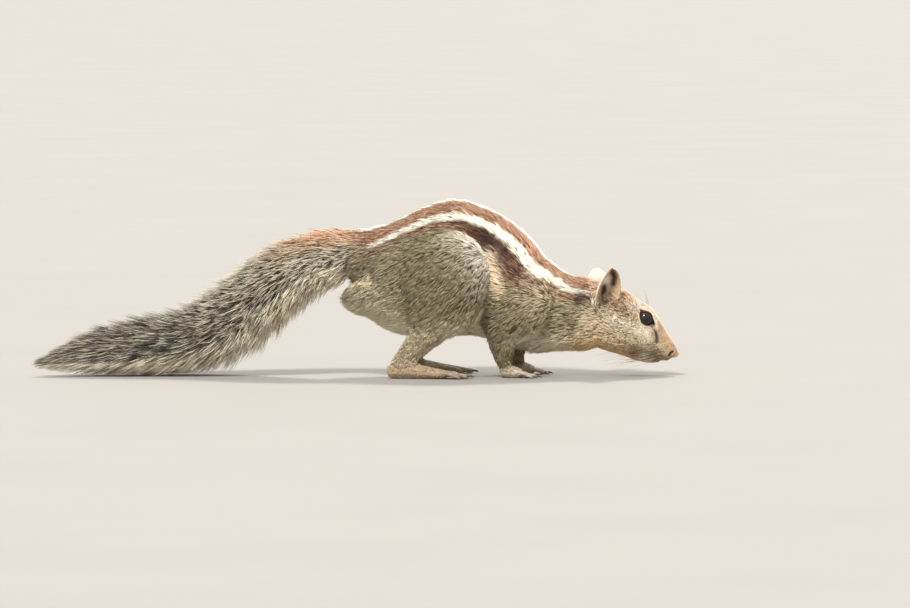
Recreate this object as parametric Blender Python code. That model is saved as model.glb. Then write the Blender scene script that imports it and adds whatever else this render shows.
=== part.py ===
"""Indian palm squirrel, crouched on a floor with its head stretched out and down and its tail laid behind it.

Metres, +X towards the nose, +Y to the animal's left, +Z up. The origin is the middle of the bounding box at
floor level. The solids show the animal out to the tips of its coat. Each side of the body is one call of the
same function, and pieces that touch are trimmed against each other with a small gap.
"""

import math

import bmesh
import bpy
import numpy as np
from mathutils import Matrix, Vector

MM = 0.001
GAP = 0.3 * MM  # clear space between neighbouring pieces
FLOOR_DEPTH = 20 * MM  # thickness of the block that flattens whatever rests on the floor
SIDES = {"right": -1.0, "left": 1.0}
BODY_AROUND = 18  # points round the body, head and tail
LIMB_AROUND = 14
FOOT_AROUND = 9
TOE_AROUND = 6
CLAW_AROUND = 5

# The spine from the buttock to the nape, in millimetres:
# back x, back z, belly x, belly z, half width, height of the widest line as a share from the belly up
TRUNK_SECTIONS = {
    "buttock": (1.0, 54.0, -2.0, 25.5, 10.5, 0.48),
    "rump": (8.0, 58.6, 7.0, 20.0, 15.5, 0.46),
    "hip": (17.5, 63.4, 17.0, 17.0, 19.0, 0.45),
    "loin": (28.5, 68.6, 28.0, 16.0, 20.5, 0.44),
    "arch": (41.5, 71.4, 39.0, 16.5, 20.5, 0.43),
    "back": (56.5, 66.4, 50.0, 16.0, 19.2, 0.43),
    "chest": (68.5, 58.0, 61.0, 12.5, 16.8, 0.44),
    "withers": (78.0, 47.2, 72.0, 9.3, 15.4, 0.46),
}
NECK_SECTIONS = {
    "withers": (78.0, 47.2, 72.0, 9.3, 15.4, 0.46),
    "neck": (86.0, 41.6, 84.5, 10.4, 13.8, 0.48),
    "nape": (95.0, 40.0, 97.6, 10.1, 12.6, 0.48),
}

# The head in its own frame: x along the muzzle, z towards the crown. Columns as above.
HEAD_PLACE = (96.2, 27.8)
HEAD_PITCH = math.radians(26.9)
HEAD_TURN = math.radians(6.0)  # to the animal's left
HEAD_SECTIONS = {
    "nape": (-6.59, 10.34, 9.26, -15.15, 12.6, 0.48),
    "ears": (0.5, 10.4, 11.8, -14.9, 13.0, 0.46),
    "cheek": (8.1, 9.9, 15.3, -14.6, 13.0, 0.44),
    "temple": (15.0, 8.8, 20.0, -14.1, 11.8, 0.44),
    "brow": (20.4, 8.9, 24.6, -13.3, 10.0, 0.47),
    "bridge": (25.4, 6.8, 28.4, -12.3, 8.0, 0.46),
    "whiskers": (30.3, 3.5, 31.6, -10.2, 6.4, 0.44),
    "snout": (34.2, 1.2, 34.6, -7.4, 4.9, 0.46),
    "tip": (37.1, -0.4, 36.6, -5.2, 3.4, 0.50),
}
SNOUT_CAP = 1.0

EYE_PLACE = (19.2, 6.5, 4.6)  # head frame, for the left eye
EYE_RADIUS = 3.1

NOSE_PLACE = (37.0, 0.0, -2.4)
NOSE_SIZE = (1.9, 2.3, 1.9)

# The lower jaw in the head frame: x, top, bottom, half width
JAW_SECTIONS = {
    "hinge": (17.0, -10.8, -14.2, 4.6),
    "middle": (23.5, -10.2, -13.6, 4.6),
    "chin": (29.2, -9.2, -12.4, 3.4),
    "lip": (32.6, -8.2, -10.2, 2.2),
}

EAR_BASE = (3.4, 10.2, 2.4)  # head frame, left ear
EAR_TIP = (-2.4, 13.6, 16.4)
EAR_FRONT = (0.82, -0.45, 0.42)  # roughly from the back edge to the front edge
EAR_HALF_WIDTH = 5.4
EAR_CUP = 3.4
EAR_THICKNESS = 0.9

# The tail: x, y, z of the middle, half width, half height over the slope
TAIL_SECTIONS = {
    "inside": (9.0, 0.0, 50.0, 7.0, 6.5),
    "root": (0.0, 0.0, 49.8, 8.8, 8.6),
    "base": (-10.5, 0.3, 48.4, 10.6, 10.6),
    "bend": (-20.5, 1.0, 45.0, 12.4, 12.8),
    "slope": (-30.5, 2.0, 37.8, 14.2, 14.6),
    "thick": (-40.5, 3.2, 28.8, 15.4, 15.6),
    "landing": (-51.0, 4.2, 20.0, 16.0, 15.6),
    "floor": (-63.0, 4.7, 14.2, 15.6, 14.4),
    "middle": (-76.0, 4.2, 12.4, 14.5, 12.8),
    "thin": (-90.0, 2.6, 11.4, 13.2, 11.6),
    "taper": (-103.0, 0.4, 9.8, 10.9, 9.8),
    "brush": (-115.0, -2.0, 7.4, 7.6, 7.2),
    "tip": (-124.5, -4.2, 4.6, 3.6, 3.6),
}
TAIL_CUTS = (0.36, 0.68)  # where the three lengths of the tail part, as shares of its sections

# Limbs, left side: x, y, z of the middle, half size along the leg's front to back, half size across it
THIGH_SECTIONS = {
    "top": (38.0, 14.5, 57.0, 8.0, 4.0),
    "haunch": (38.5, 16.2, 50.5, 16.0, 8.0),
    "thigh": (37.5, 16.8, 42.0, 18.6, 9.2),
    "knee": (34.5, 16.4, 32.5, 18.4, 8.8),
    "calf": (30.0, 15.4, 25.0, 13.6, 7.2),
    "hock": (26.5, 14.8, 20.6, 8.2, 5.2),
}
SHANK_SECTIONS = {
    "top": (34.0, 15.6, 24.0, 8.0, 5.5),
    "middle": (27.5, 15.8, 15.8, 6.4, 4.8),
    "ankle": (20.5, 16.2, 8.8, 4.6, 3.7),
    "heel": (16.8, 16.6, 5.2, 3.2, 3.0),
}
HIND_FOOT_SECTIONS = {
    "heel": (14.4, 16.6, 2.7, 2.8, 2.7),
    "ankle": (18.5, 16.8, 3.6, 4.0, 3.4),
    "instep": (25.0, 17.2, 2.8, 3.2, 3.5),
    "ball": (32.0, 17.8, 2.0, 2.3, 4.1),
    "toes": (36.0, 18.2, 1.7, 1.9, 4.2),
}
# Hind toes: sideways place at the root, spread at the tip, length
HIND_TOES = ((-3.1, -4.3, 4.6), (-1.7, -2.2, 8.2), (0.1, 0.1, 8.8), (1.9, 2.5, 8.2), (3.3, 4.9, 5.4))
TOE_RADIUS = 1.05

UPPER_ARM_SECTIONS = {
    "shoulder": (74.5, 9.5, 41.0, 6.5, 4.6),
    "blade": (72.0, 11.6, 34.5, 11.5, 7.4),
    "arm": (65.5, 12.6, 26.0, 12.6, 7.6),
    "elbow": (59.5, 13.0, 19.4, 8.8, 6.0),
    "point": (56.8, 13.0, 16.6, 5.4, 4.2),
}
FOREARM_SECTIONS = {
    "elbow": (59.5, 12.8, 20.0, 7.2, 4.6),
    "upper": (59.2, 12.6, 15.0, 6.4, 4.2),
    "middle": (59.4, 12.4, 9.6, 4.8, 3.4),
    "wrist": (60.4, 12.0, 4.6, 2.9, 2.5),
}
FOREPAW_SECTIONS = {
    "wrist": (59.0, 12.0, 2.6, 2.3, 2.1),
    "palm": (62.6, 12.0, 2.3, 2.6, 3.0),
    "knuckles": (66.2, 12.2, 1.7, 1.95, 3.4),
}
FOREPAW_TOES = ((-2.5, -3.8, 4.2), (-0.9, -1.3, 5.4), (0.9, 1.5, 5.4), (2.5, 4.3, 4.2))
FINGER_RADIUS = 0.85
LEFT_FORELEG_AHEAD = 5.0  # how far the left foreleg stands ahead of the right one
LEFT_HIND_LEG_AHEAD = 2.0

CLAW_LENGTH = 2.2
CLAW_RADIUS = 0.42
CLAW_DROOP = 0.9

COLOURS = {
    "back_fur": ((0.33, 0.20, 0.12), 0.85),
    "flank_fur": ((0.42, 0.37, 0.27), 0.85),
    "face_fur": ((0.50, 0.40, 0.28), 0.85),
    "tail_fur": ((0.36, 0.33, 0.28), 0.85),
    "foot_fur": ((0.62, 0.57, 0.50), 0.80),
    "ear_skin": ((0.42, 0.27, 0.19), 0.70),
    "nose_skin": ((0.34, 0.20, 0.16), 0.50),
    "eye": ((0.015, 0.010, 0.010), 0.05),
    "claw": ((0.06, 0.045, 0.04), 0.35),
}


def material(slot):
    """The Principled material of a slot, made once."""
    if slot in bpy.data.materials:
        return bpy.data.materials[slot]
    made = bpy.data.materials.new(slot)
    made.use_nodes = True
    colour, roughness = COLOURS[slot]
    shader = made.node_tree.nodes["Principled BSDF"]
    shader.inputs["Base Color"].default_value = (*colour, 1.0)
    shader.inputs["Roughness"].default_value = roughness
    shader.inputs["Metallic"].default_value = 0.0
    return made


def through(rows, count):
    """A smooth curve through rows of numbers, sampled at count places: Catmull-Rom on the row index."""
    rows = np.array(list(rows), float)
    ends = (2 * rows[0] - rows[1], 2 * rows[-1] - rows[-2])
    padded = np.vstack([ends[0], rows, ends[1]])
    out = []
    for place in np.linspace(0, len(rows) - 1, count):
        i = min(int(place), len(rows) - 2)
        t = place - i
        a, b, c, d = padded[i : i + 4]
        out.append(0.5 * (2 * b + (c - a) * t + (2 * a - 5 * b + 4 * c - d) * t**2 + (3 * b - a - 3 * c + d) * t**3))
    return np.array(out)


def section_ring(low, high, half_width, widest, around, fullness=2.15):
    """A closed ring between a lowest and a highest point, widest at a share of the way up."""
    low, high = Vector(low), Vector(high)
    middle = low.lerp(high, widest)
    ring = []
    for k in range(around):
        angle = 2 * math.pi * k / around
        across, rise = math.cos(angle), math.sin(angle)
        across = math.copysign(abs(across) ** (2 / fullness), across)
        rise = math.copysign(abs(rise) ** (2 / fullness), rise)
        towards = (high - middle) if rise > 0 else (middle - low)
        ring.append(middle + towards * rise + Vector((0.0, half_width * across, 0.0)))
    return ring


def tube_rings(rows, around):
    """Rings of an elliptic tube along a path: each row is x, y, z, half height over the slope, half width."""
    middles = [Vector(row[:3]) for row in rows]
    rings = []
    for i, row in enumerate(rows):
        along = (middles[min(i + 1, len(rows) - 1)] - middles[max(i - 1, 0)]).normalized()
        side = (Vector((0, 1, 0)) - along * along.y).normalized()
        over = side.cross(along).normalized()
        ring = []
        for k in range(around):
            angle = 2 * math.pi * k / around
            ring.append(middles[i] + over * (row[3] * math.sin(angle)) + side * (row[4] * math.cos(angle)))
        rings.append(ring)
    return rings


def capped(rings, cap, at_start, steps=3):
    """Adds shrinking rings past one end, so that the end is a rounded dome cap long."""
    end, before = (rings[0], rings[1]) if at_start else (rings[-1], rings[-2])
    middle = sum(end, Vector()) / len(end)
    outwards = (middle - sum(before, Vector()) / len(before)).normalized()
    more = []
    for k in range(1, steps + 1):
        angle = 0.5 * math.pi * k / (steps + 0.35)
        more.append([middle + (p - middle) * math.cos(angle) + outwards * cap * math.sin(angle) for p in end])
    return more[::-1] + rings if at_start else rings + more


def loft(name, rings, slot, parent=None, scale=MM):
    """A closed mesh object through rings with equal numbers of points, both ends filled."""
    mesh = bmesh.new()
    loops = [[mesh.verts.new(p * scale) for p in ring] for ring in rings]
    for low, high in zip(loops, loops[1:]):
        for k in range(len(low)):
            after = (k + 1) % len(low)
            mesh.faces.new((low[k], low[after], high[after], high[k]))
    for ring in (loops[0], loops[-1]):
        hub = mesh.verts.new(sum((v.co for v in ring), Vector()) / len(ring))
        for k in range(len(ring)):
            mesh.faces.new((ring[k], ring[(k + 1) % len(ring)], hub))
    bmesh.ops.recalc_face_normals(mesh, faces=mesh.faces)
    return finished(name, mesh, slot, parent)


def finished(name, mesh, slot, parent):
    """Turns a bmesh into a smooth-shaded object of the scene."""
    data = bpy.data.meshes.new(name)
    mesh.to_mesh(data)
    mesh.free()
    data.materials.append(material(slot))
    data.shade_smooth()
    data.set_sharp_from_angle(angle=math.radians(40))
    obj = bpy.data.objects.new(name, data)
    bpy.context.scene.collection.objects.link(obj)
    obj.parent = parent
    return obj


def helper(obj):
    """Keeps an object out of the model: it only cuts or joins others."""
    obj.hide_render = True
    obj.display_type = "WIRE"
    return obj


def grown(obj, by=GAP):
    """A cutter in the shape of obj, larger all round."""
    cutter = bpy.data.objects.new(obj.name + "_cutter", obj.data.copy())
    bpy.context.scene.collection.objects.link(cutter)
    cutter.parent = obj.parent
    for vertex in cutter.data.vertices:
        vertex.co += vertex.normal * by
    return helper(cutter)


def trim(obj, *cutters):
    """Takes the cutters' shapes away from obj."""
    for cutter in cutters:
        cut = obj.modifiers.new("trim_" + cutter.name, "BOOLEAN")
        cut.operation = "DIFFERENCE"
        cut.solver = "EXACT"
        cut.use_self = True
        cut.object = cutter


def join(obj, *others):
    """Makes helpers part of obj."""
    for other in others:
        union = obj.modifiers.new("join_" + other.name, "BOOLEAN")
        union.operation = "UNION"
        union.solver = "EXACT"
        union.object = helper(other)


def empty(name, parent=None):
    frame = bpy.data.objects.new(name, None)
    bpy.context.scene.collection.objects.link(frame)
    frame.parent = parent
    return frame


def body_rings(sections, count, around=BODY_AROUND):
    """Rings of a stretch of the spine or head, from rows as in TRUNK_SECTIONS."""
    rings = []
    for back_x, back_z, belly_x, belly_z, width, widest in through(sections.values(), count):
        rings.append(section_ring((belly_x, 0, belly_z), (back_x, 0, back_z), width, widest, around))
    return rings


def drawn_back(ring, rings_ahead, by):
    """The same ring moved away from a neighbour along the body."""
    middle = sum(ring, Vector()) / len(ring)
    ahead = sum(rings_ahead, Vector()) / len(rings_ahead)
    step = (middle - ahead).normalized() * by
    return [p + step for p in ring]


def make_trunk(animal):
    rings = capped(body_rings(TRUNK_SECTIONS, 17), 4.2, at_start=True)
    return loft("trunk", rings, "back_fur", animal)


def make_neck(animal):
    """The neck, bent sideways from the shoulders on so that it meets the turned head."""
    rings = body_rings(NECK_SECTIONS, 6)
    pivot = Vector((HEAD_PLACE[0], 0.0, HEAD_PLACE[1]))
    for i, ring in enumerate(rings):
        turn = Matrix.Rotation(HEAD_TURN * (i / (len(rings) - 1)) ** 2, 3, "Z")
        rings[i] = [pivot + turn @ (p - pivot) for p in ring]
    rings[0] = drawn_back(rings[0], rings[1], -GAP / MM)
    rings[-1] = drawn_back(rings[-1], rings[-2], -GAP / MM)
    return loft("neck", rings, "flank_fur", animal)


def make_head(frame):
    """The head with its sockets, and the eyes, nose, jaw and ears that fit in and on it."""
    rings = capped(body_rings(HEAD_SECTIONS, 17), SNOUT_CAP, at_start=False)
    head = loft("head", rings, "face_fur", frame)
    nose = make_nose(frame)
    jaw = make_jaw(frame)
    eyes = [make_eye(side, frame) for side in SIDES]
    head_cutter = grown(head)
    for side in SIDES:
        trim(make_ear(side, frame), head_cutter)
    nose_cutter = grown(nose)
    trim(head, nose_cutter, grown(jaw), *(grown(eye) for eye in eyes))
    trim(jaw, nose_cutter)


def ball(name, place, size, slot, parent, rows=8, around=12):
    """A ball or egg built from rings stacked along x."""
    rings = []
    for k in range(1, rows):
        angle = math.pi * k / rows
        x = place[0] - size[0] * math.cos(angle)
        ring = []
        for j in range(around):
            turn = 2 * math.pi * j / around
            y = place[1] + size[1] * math.sin(angle) * math.cos(turn)
            z = place[2] + size[2] * math.sin(angle) * math.sin(turn)
            ring.append(Vector((x, y, z)))
        rings.append(ring)
    obj = loft(name, rings, slot, parent)
    ends = sorted(obj.data.vertices, key=lambda v: v.co.x)
    ends[0].co.x = (place[0] - size[0]) * MM
    ends[-1].co.x = (place[0] + size[0]) * MM
    return obj


def make_eye(side, frame):
    x, y, z = EYE_PLACE
    return ball("eye_" + side, (x, y * SIDES[side], z), (EYE_RADIUS,) * 3, "eye", frame)


def make_nose(frame):
    return ball("nose", NOSE_PLACE, NOSE_SIZE, "nose_skin", frame, rows=6, around=10)


def make_jaw(frame):
    rings = []
    for x, top, bottom, width in through(JAW_SECTIONS.values(), 6):
        rings.append(section_ring((x, 0, bottom), (x, 0, top), width, 0.6, 10))
    rings = capped(capped(rings, 1.2, at_start=False, steps=2), 1.5, at_start=True, steps=2)
    return loft("lower_jaw", rings, "face_fur", frame)


def make_ear(side, frame, across=6, up=6):
    """A spoon-shaped leaf: rounded at the tip, hollow outwards, rooted in the head."""
    mirror = Vector((1.0, SIDES[side], 1.0))
    base, tip = Vector(EAR_BASE) * mirror, Vector(EAR_TIP) * mirror
    rise = tip - base
    front = Vector(EAR_FRONT) * mirror
    front = (front - rise.normalized() * front.dot(rise.normalized())).normalized()
    out = rise.normalized().cross(front) * SIDES[side]
    mesh = bmesh.new()
    grid = []
    for j in range(up + 1):
        v = math.sin(0.5 * math.pi * j / up)
        half = EAR_HALF_WIDTH * min(0.62 + 0.9 * v, 1.0) * math.sqrt(max(1 - max(v - 0.3, 0) ** 2 / 0.51, 0.0))
        row = []
        for k in range(across + 1):
            u = 2 * k / across - 1
            hollow = EAR_CUP * (u * u - 0.55) * half / EAR_HALF_WIDTH
            row.append(mesh.verts.new((base + rise * v + front * (u * half) + out * hollow) * MM))
        grid.append(row)
    for low, high in zip(grid, grid[1:]):
        for k in range(across):
            mesh.faces.new((low[k], low[k + 1], high[k + 1], high[k]))
    bmesh.ops.remove_doubles(mesh, verts=mesh.verts, dist=0.05 * MM)
    bmesh.ops.recalc_face_normals(mesh, faces=mesh.faces)
    ear = finished("ear_" + side, mesh, "ear_skin", frame)
    shell = ear.modifiers.new("thickness", "SOLIDIFY")
    shell.thickness = EAR_THICKNESS * MM
    shell.offset = 0.0
    return ear


def make_tail(animal, trunk_cutter, floor):
    """Three lengths of the brush, from the root to the tip."""
    rows = [(x, y, z, high, wide) for x, y, z, wide, high in through(TAIL_SECTIONS.values(), 23)]
    rings = tube_rings(rows, BODY_AROUND)
    cuts = [0, *(round(share * (len(rings) - 1)) for share in TAIL_CUTS), len(rings) - 1]
    for name, first, last in zip(("tail_root", "tail_middle", "tail_tip"), cuts, cuts[1:]):
        length = rings[first : last + 1]
        if first:
            length[0] = drawn_back(length[0], length[1], -GAP / MM)
        if name == "tail_tip":
            length = capped(length, 3.0, at_start=False)
        tail = loft(name, length, "tail_fur", animal)
        trim(tail, floor)
        if name == "tail_root":
            trim(tail, trunk_cutter)


def limb(name, sections, side, shifts, count, around, slot, parent, start_cap, end_cap):
    """One stretch of a leg, moved ahead by the two shifts at its start and end. The right one is mirrored."""
    rows = []
    for i, (x, y, z, long, wide) in enumerate(through(sections.values(), count)):
        ahead = shifts[0] + (shifts[1] - shifts[0]) * i / (count - 1)
        rows.append((x + ahead, y * SIDES[side], z, long, wide))
    rings = tube_rings(rows, around)
    rings = capped(rings, start_cap, at_start=True, steps=2)
    rings = capped(rings, end_cap, at_start=False, steps=2)
    return loft(name, rings, slot, parent)


def make_toes(prefix, root, toes, side, radius, floor, parent):
    """Toes that reach forwards from root, each with a claw past its tip. Returns the toes."""
    made = []
    for number, (start, spread, length) in enumerate(toes, 1):
        sideways = SIDES[side]
        first = Vector((root[0] - 2.0, root[1] + start * sideways, root[2] + 0.5))
        knuckle = Vector((root[0] + 0.42 * length, root[1] + (start + spread) / 2 * sideways, radius + 0.75))
        last = Vector((root[0] + length, root[1] + spread * sideways, radius - 0.1))
        middle = first.lerp(knuckle, 0.5) + Vector((0, 0, 0.3))
        rows = [(*first, radius, radius), (*middle, radius, radius), (*knuckle, radius * 1.05, radius * 1.05)]
        rows.append((*last, radius * 0.85, radius * 0.85))
        rings = tube_rings(through(rows, 5), TOE_AROUND)
        rings = capped(rings, 0.6, at_start=False, steps=1)
        toe = loft(f"{prefix}_toe_{number}", rings, "foot_fur", parent)
        made.append(toe)
        make_claw(f"{prefix}_claw_{number}", last, (last - knuckle).normalized(), radius, floor, parent)
    return made


def make_claw(name, toe_end, along, toe_radius, floor, parent, steps=3):
    """A curved cone that starts just clear of the toe and points forwards and down."""
    start = toe_end + along * (0.6 + GAP / MM + 0.15) + Vector((0, 0, 0.30 * toe_radius))
    forwards = Vector((along.x, along.y, 0.0)).normalized()
    rows = []
    for k in range(steps + 1):
        t = k / steps
        at = start + forwards * (CLAW_LENGTH * t) + Vector((0, 0, 0.35 * t - (CLAW_DROOP + 0.35) * t * t))
        thick = CLAW_RADIUS * (1 - 0.75 * t)
        rows.append((*at, thick, 0.75 * thick))
    trim(loft(name, tube_rings(rows, CLAW_AROUND), "claw", parent), floor)


def make_hind_leg(side, animal, trunk_cutter, floor):
    ahead = LEFT_HIND_LEG_AHEAD if side == "left" else 0.0
    thigh = limb("thigh_" + side, THIGH_SECTIONS, side, (0.0, ahead), 10, LIMB_AROUND, "flank_fur", animal, 1.5, 1.5)
    shank = limb("shank_" + side, SHANK_SECTIONS, side, (ahead, ahead), 5, FOOT_AROUND, "flank_fur", animal, 1.0, 0.6)
    foot = limb(
        "hind_foot_" + side, HIND_FOOT_SECTIONS, side, (ahead, ahead), 7, FOOT_AROUND, "foot_fur", animal, 1.6, 1.0
    )
    x, y, z = list(HIND_FOOT_SECTIONS.values())[-1][:3]
    root = (x + ahead, y * SIDES[side], z)
    foot_cutter, thigh_cutter = grown(foot), grown(thigh)
    toes = make_toes("hind_" + side, root, HIND_TOES, side, TOE_RADIUS, floor, animal)
    join(foot, *toes)
    trim(foot, floor)
    trim(thigh, trunk_cutter)
    trim(shank, thigh_cutter, trunk_cutter, foot_cutter)


def make_foreleg(side, animal, trunk_cutter, neck_cutter, floor):
    ahead = LEFT_FORELEG_AHEAD if side == "left" else 0.0
    arm = limb("upper_arm_" + side, UPPER_ARM_SECTIONS, side, (0.0, ahead), 8, LIMB_AROUND, "flank_fur", animal, 1.2, 1.0)
    forearm = limb(
        "forearm_" + side, FOREARM_SECTIONS, side, (ahead, ahead), 5, FOOT_AROUND, "flank_fur", animal, 1.0, 0.5
    )
    paw = limb("forepaw_" + side, FOREPAW_SECTIONS, side, (ahead, ahead), 5, FOOT_AROUND, "foot_fur", animal, 1.0, 0.8)
    x, y, z = list(FOREPAW_SECTIONS.values())[-1][:3]
    root = (x + ahead, y * SIDES[side], z)
    paw_cutter, arm_cutter = grown(paw), grown(arm)
    toes = make_toes("fore_" + side, root, FOREPAW_TOES, side, FINGER_RADIUS, floor, animal)
    join(paw, *toes)
    trim(paw, floor)
    trim(arm, trunk_cutter, neck_cutter)
    trim(forearm, arm_cutter, trunk_cutter, paw_cutter)


def make_floor(animal):
    """A block under the floor level, which flattens the soles and the underside of the tail."""
    mesh = bmesh.new()
    bmesh.ops.create_cube(mesh, size=1.0)
    floor = helper(finished("floor_cutter", mesh, "claw", animal))
    floor.data.transform(Matrix.Translation((0, 0, -FLOOR_DEPTH / 2)) @ Matrix.Diagonal((0.4, 0.2, FLOOR_DEPTH, 1)))
    return floor


def centre_on_floor(animal):
    """Moves the animal so that the middle of its bounding box is over the origin."""
    bpy.context.view_layer.update()
    graph = bpy.context.evaluated_depsgraph_get()
    low, high = Vector((1.0, 1.0, 1.0)), Vector((-1.0, -1.0, -1.0))
    for obj in bpy.context.scene.objects:
        if obj.type == "MESH" and not obj.hide_render:
            evaluated = obj.evaluated_get(graph)
            for vertex in evaluated.data.vertices:
                place = evaluated.matrix_world @ vertex.co
                for axis in (0, 1):
                    low[axis] = min(low[axis], place[axis])
                    high[axis] = max(high[axis], place[axis])
    for axis in (0, 1):
        animal.location[axis] -= (low[axis] + high[axis]) / 2


def main():
    for obj in list(bpy.data.objects):
        bpy.data.objects.remove(obj)
    animal = empty("animal")
    head_frame = empty("head_frame", animal)
    head_frame.location = (HEAD_PLACE[0] * MM, 0.0, HEAD_PLACE[1] * MM)
    head_frame.rotation_euler = (0.0, HEAD_PITCH, HEAD_TURN)
    floor = make_floor(animal)
    trunk = make_trunk(animal)
    neck = make_neck(animal)
    trunk_cutter, neck_cutter = grown(trunk), grown(neck)
    make_head(head_frame)
    make_tail(animal, trunk_cutter, floor)
    for side in SIDES:
        make_hind_leg(side, animal, trunk_cutter, floor)
        make_foreleg(side, animal, trunk_cutter, neck_cutter, floor)
    centre_on_floor(animal)


main()
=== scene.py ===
"""An Indian palm squirrel at life size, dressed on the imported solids: one skin over all the flesh, a coat
of tufts that follows the lie of the fur, lidded eyes, claws and whiskers, with a floor, soft light and a
camera.

All shapes are worked out in millimetres and turned into metres when a mesh is made."""

import math
from collections import namedtuple

import bmesh
import bpy
import numpy as np
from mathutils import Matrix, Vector
from mathutils.bvhtree import BVHTree
from mathutils.kdtree import KDTree


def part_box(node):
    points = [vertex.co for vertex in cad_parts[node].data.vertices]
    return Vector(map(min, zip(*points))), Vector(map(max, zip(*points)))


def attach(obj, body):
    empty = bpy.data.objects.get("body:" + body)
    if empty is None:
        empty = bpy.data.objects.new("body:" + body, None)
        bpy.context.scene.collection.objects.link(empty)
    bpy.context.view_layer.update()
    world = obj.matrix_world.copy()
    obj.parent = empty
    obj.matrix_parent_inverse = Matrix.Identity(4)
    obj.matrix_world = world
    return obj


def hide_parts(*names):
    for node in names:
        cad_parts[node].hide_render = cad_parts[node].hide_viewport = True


MM = 0.001
RANDOM = np.random.default_rng(11)

# The skin.
VOXEL = 0.49
CLOSED_GAP = 0.3  # half as much again as the gap that parts two solids
TAIL_CORE = ((0.0, 8.3), (0.06, 7.6), (0.14, 6.0), (0.35, 4.2), (0.7, 3.4), (1.0, 1.2))
TAIL_CORE_LENGTH = 0.93  # as a share of the tail's
ROOT_SET_BACK = 5.0  # how far the core's front end is moved back out of the trunk
TAIL_JOIN = (-22.0, -12.0, 3.0, 12.0)  # the skin is eased between these places along x
TAIL_JOIN_ROUNDS = 150
SADDLE = ((12.0, 0.0, 52.9), (15.0, 8.5, 8.8))  # middle and half sizes of what fills the dip before the tail
SOLE_HEIGHT = 0.06
SKIN_SHADE = 0.8  # the skin's colours as a share of the coat's over it: darker for the undercoat, and as painted shade between the tufts

# The coat by body part: its depth, a tuft's length and width, tufts to a square millimetre, and how much the
# skin under it is evened out.
TAIL_PARTS = ("tail_root", "tail_middle", "tail_tip")
Fur = namedtuple("Fur", "depth length width density relax")
FUR = {
    "trunk": Fur(2.2, 4.8, 0.30, 5.0, 0.9),
    "neck": Fur(2.0, 4.4, 0.28, 6.0, 0.9),
    "thigh": Fur(2.1, 4.2, 0.29, 6.0, 0.5),
    "upper_arm": Fur(1.8, 4.4, 0.29, 5.8, 0.7),
    "forearm": Fur(0.9, 2.6, 0.26, 6.4, 0.5),
    "shank": Fur(1.0, 2.6, 0.26, 6.4, 0.5),
    "hind_foot": Fur(0.2, 1.2, 0.20, 4.2, 0.15),
    "forepaw": Fur(0.2, 1.1, 0.20, 5.0, 0.15),
    "head": Fur(1.1, 2.2, 0.22, 8.0, 0.6),
    "lower_jaw": Fur(0.5, 1.5, 0.20, 8.0, 0.4),
    "ear": Fur(0.15, 1.0, 0.18, 7.0, 0.2),
    "nose": Fur(0.0, 0.4, 0.10, 0.0, 0.3),
    **{name: Fur(0.0, 9.0, 0.5, 0.0, 0.8) for name in TAIL_PARTS},  # its hair is grown on its own
}
KINDS = list(FUR)
LIMB_LIE = {
    "thigh": (-0.78, -0.62),
    "upper_arm": (-0.80, -0.60),
    "forearm": (-0.25, -0.97),
    "shank": (-0.55, -0.83),
}  # which way the fur points there in the side view, as x and z
SHORT_HAIRED = ("head", "lower_jaw", "ear", "nose", "hind_foot", "forepaw")
BACK_LIE = (12.0, 18.0)  # this far below the back the fur turns from the body's lie to the limb's

# The head's own frame: x to the nose, y to the animal's left, z up, from the middle of the nape.
EYE_IN_HEAD = (19.2, 6.5, 4.6)
NOSE_IN_HEAD = (37.0, 0.0, -2.4)
EYE_RADIUS = 3.1
EYE_BULGE = 0.035  # how much further the ball stands out in front, as a share of its radius
EYE_AXIS = (0.10, 0.98, 0.16)
EYE_SLANT = 17.0
APERTURE = (4.5, 2.35)  # half the length and half the height of the opening, along the ball
LINER = (5.3, 2.75)  # and of the dark skin round it, seen from the side
LINER_AHEAD = 0.2
LID_THICKNESS = 0.36
FAR = 9.0  # stands for any larger distance from an eye
EAR_BASE = (1.6, 10.2, 0.8)  # for the left ear
EAR_TIP = (-2.3, 13.2, 16.5)
LEFT_EAR_LAID = (-2.2, 0.4, -2.6)  # how far the left ear's tip is laid back and down from that
EAR_FRONT = (0.82, -0.45, 0.42)
EAR_HALF_WIDTH = 5.8
EAR_HOLLOW = 3.6
EAR_DEEPEST = 0.3  # across the ear, from -1 at its back edge to 1 at its front
EAR_THICKNESS = 0.9

# Colours, as red, green and blue from 0 to 255.
CREAM = (254, 246, 231)
RUFOUS = (181, 131, 97)
DARK_BROWN = (74, 40, 17)
OLIVE = (152, 137, 98)
PALE_BUFF = (222, 206, 172)
BELLY = (246, 232, 200)
THROAT = (240, 206, 158)
FOREHEAD = (198, 160, 130)
BRIDGE = (216, 182, 148)
NOSE_PINK = (236, 190, 156)
PAD = (212, 186, 154)
CHEEK = (206, 186, 152)
TEMPLE = (158, 126, 94)
EAR_SKIN = (206, 172, 140)
EAR_BACK = (226, 214, 200)
# painted shade, in the ear's hollow and opening and behind the ear
EAR_SHADE = (66, 40, 27)
FOOT = (192, 176, 156)
HIND_FOOT = (172, 148, 122)
FOLD_CREAM = (252, 226, 196)
FROST = (238, 230, 212)
DARK_TINT = (128, 112, 88)
TAIL_GREY = (160, 145, 114)
TAIL_DARK = (38, 32, 24)
TAIL_PALE = (250, 238, 214)
TAIL_FRINGE = (250, 236, 210)
LID_BROWN = (34, 22, 16)
TEAR_BROWN = (70, 44, 28)
MOUTH_CORNER = (168, 104, 52)
# painted shade along the mouth's crease
MOUTH_SHADE = (96, 62, 46)
# painted shade in the nostrils' slits
NOSTRIL_SHADE = (48, 28, 22)
EYE_BLACK = (10, 8, 8)
IRIS_BROWN = (44, 26, 16)
CLAW_ROOT = (58, 44, 34)
CLAW_TIP = (120, 98, 76)
WHISKER_ROOT = (40, 30, 24)
WHISKER_TIP = (150, 130, 108)
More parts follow.
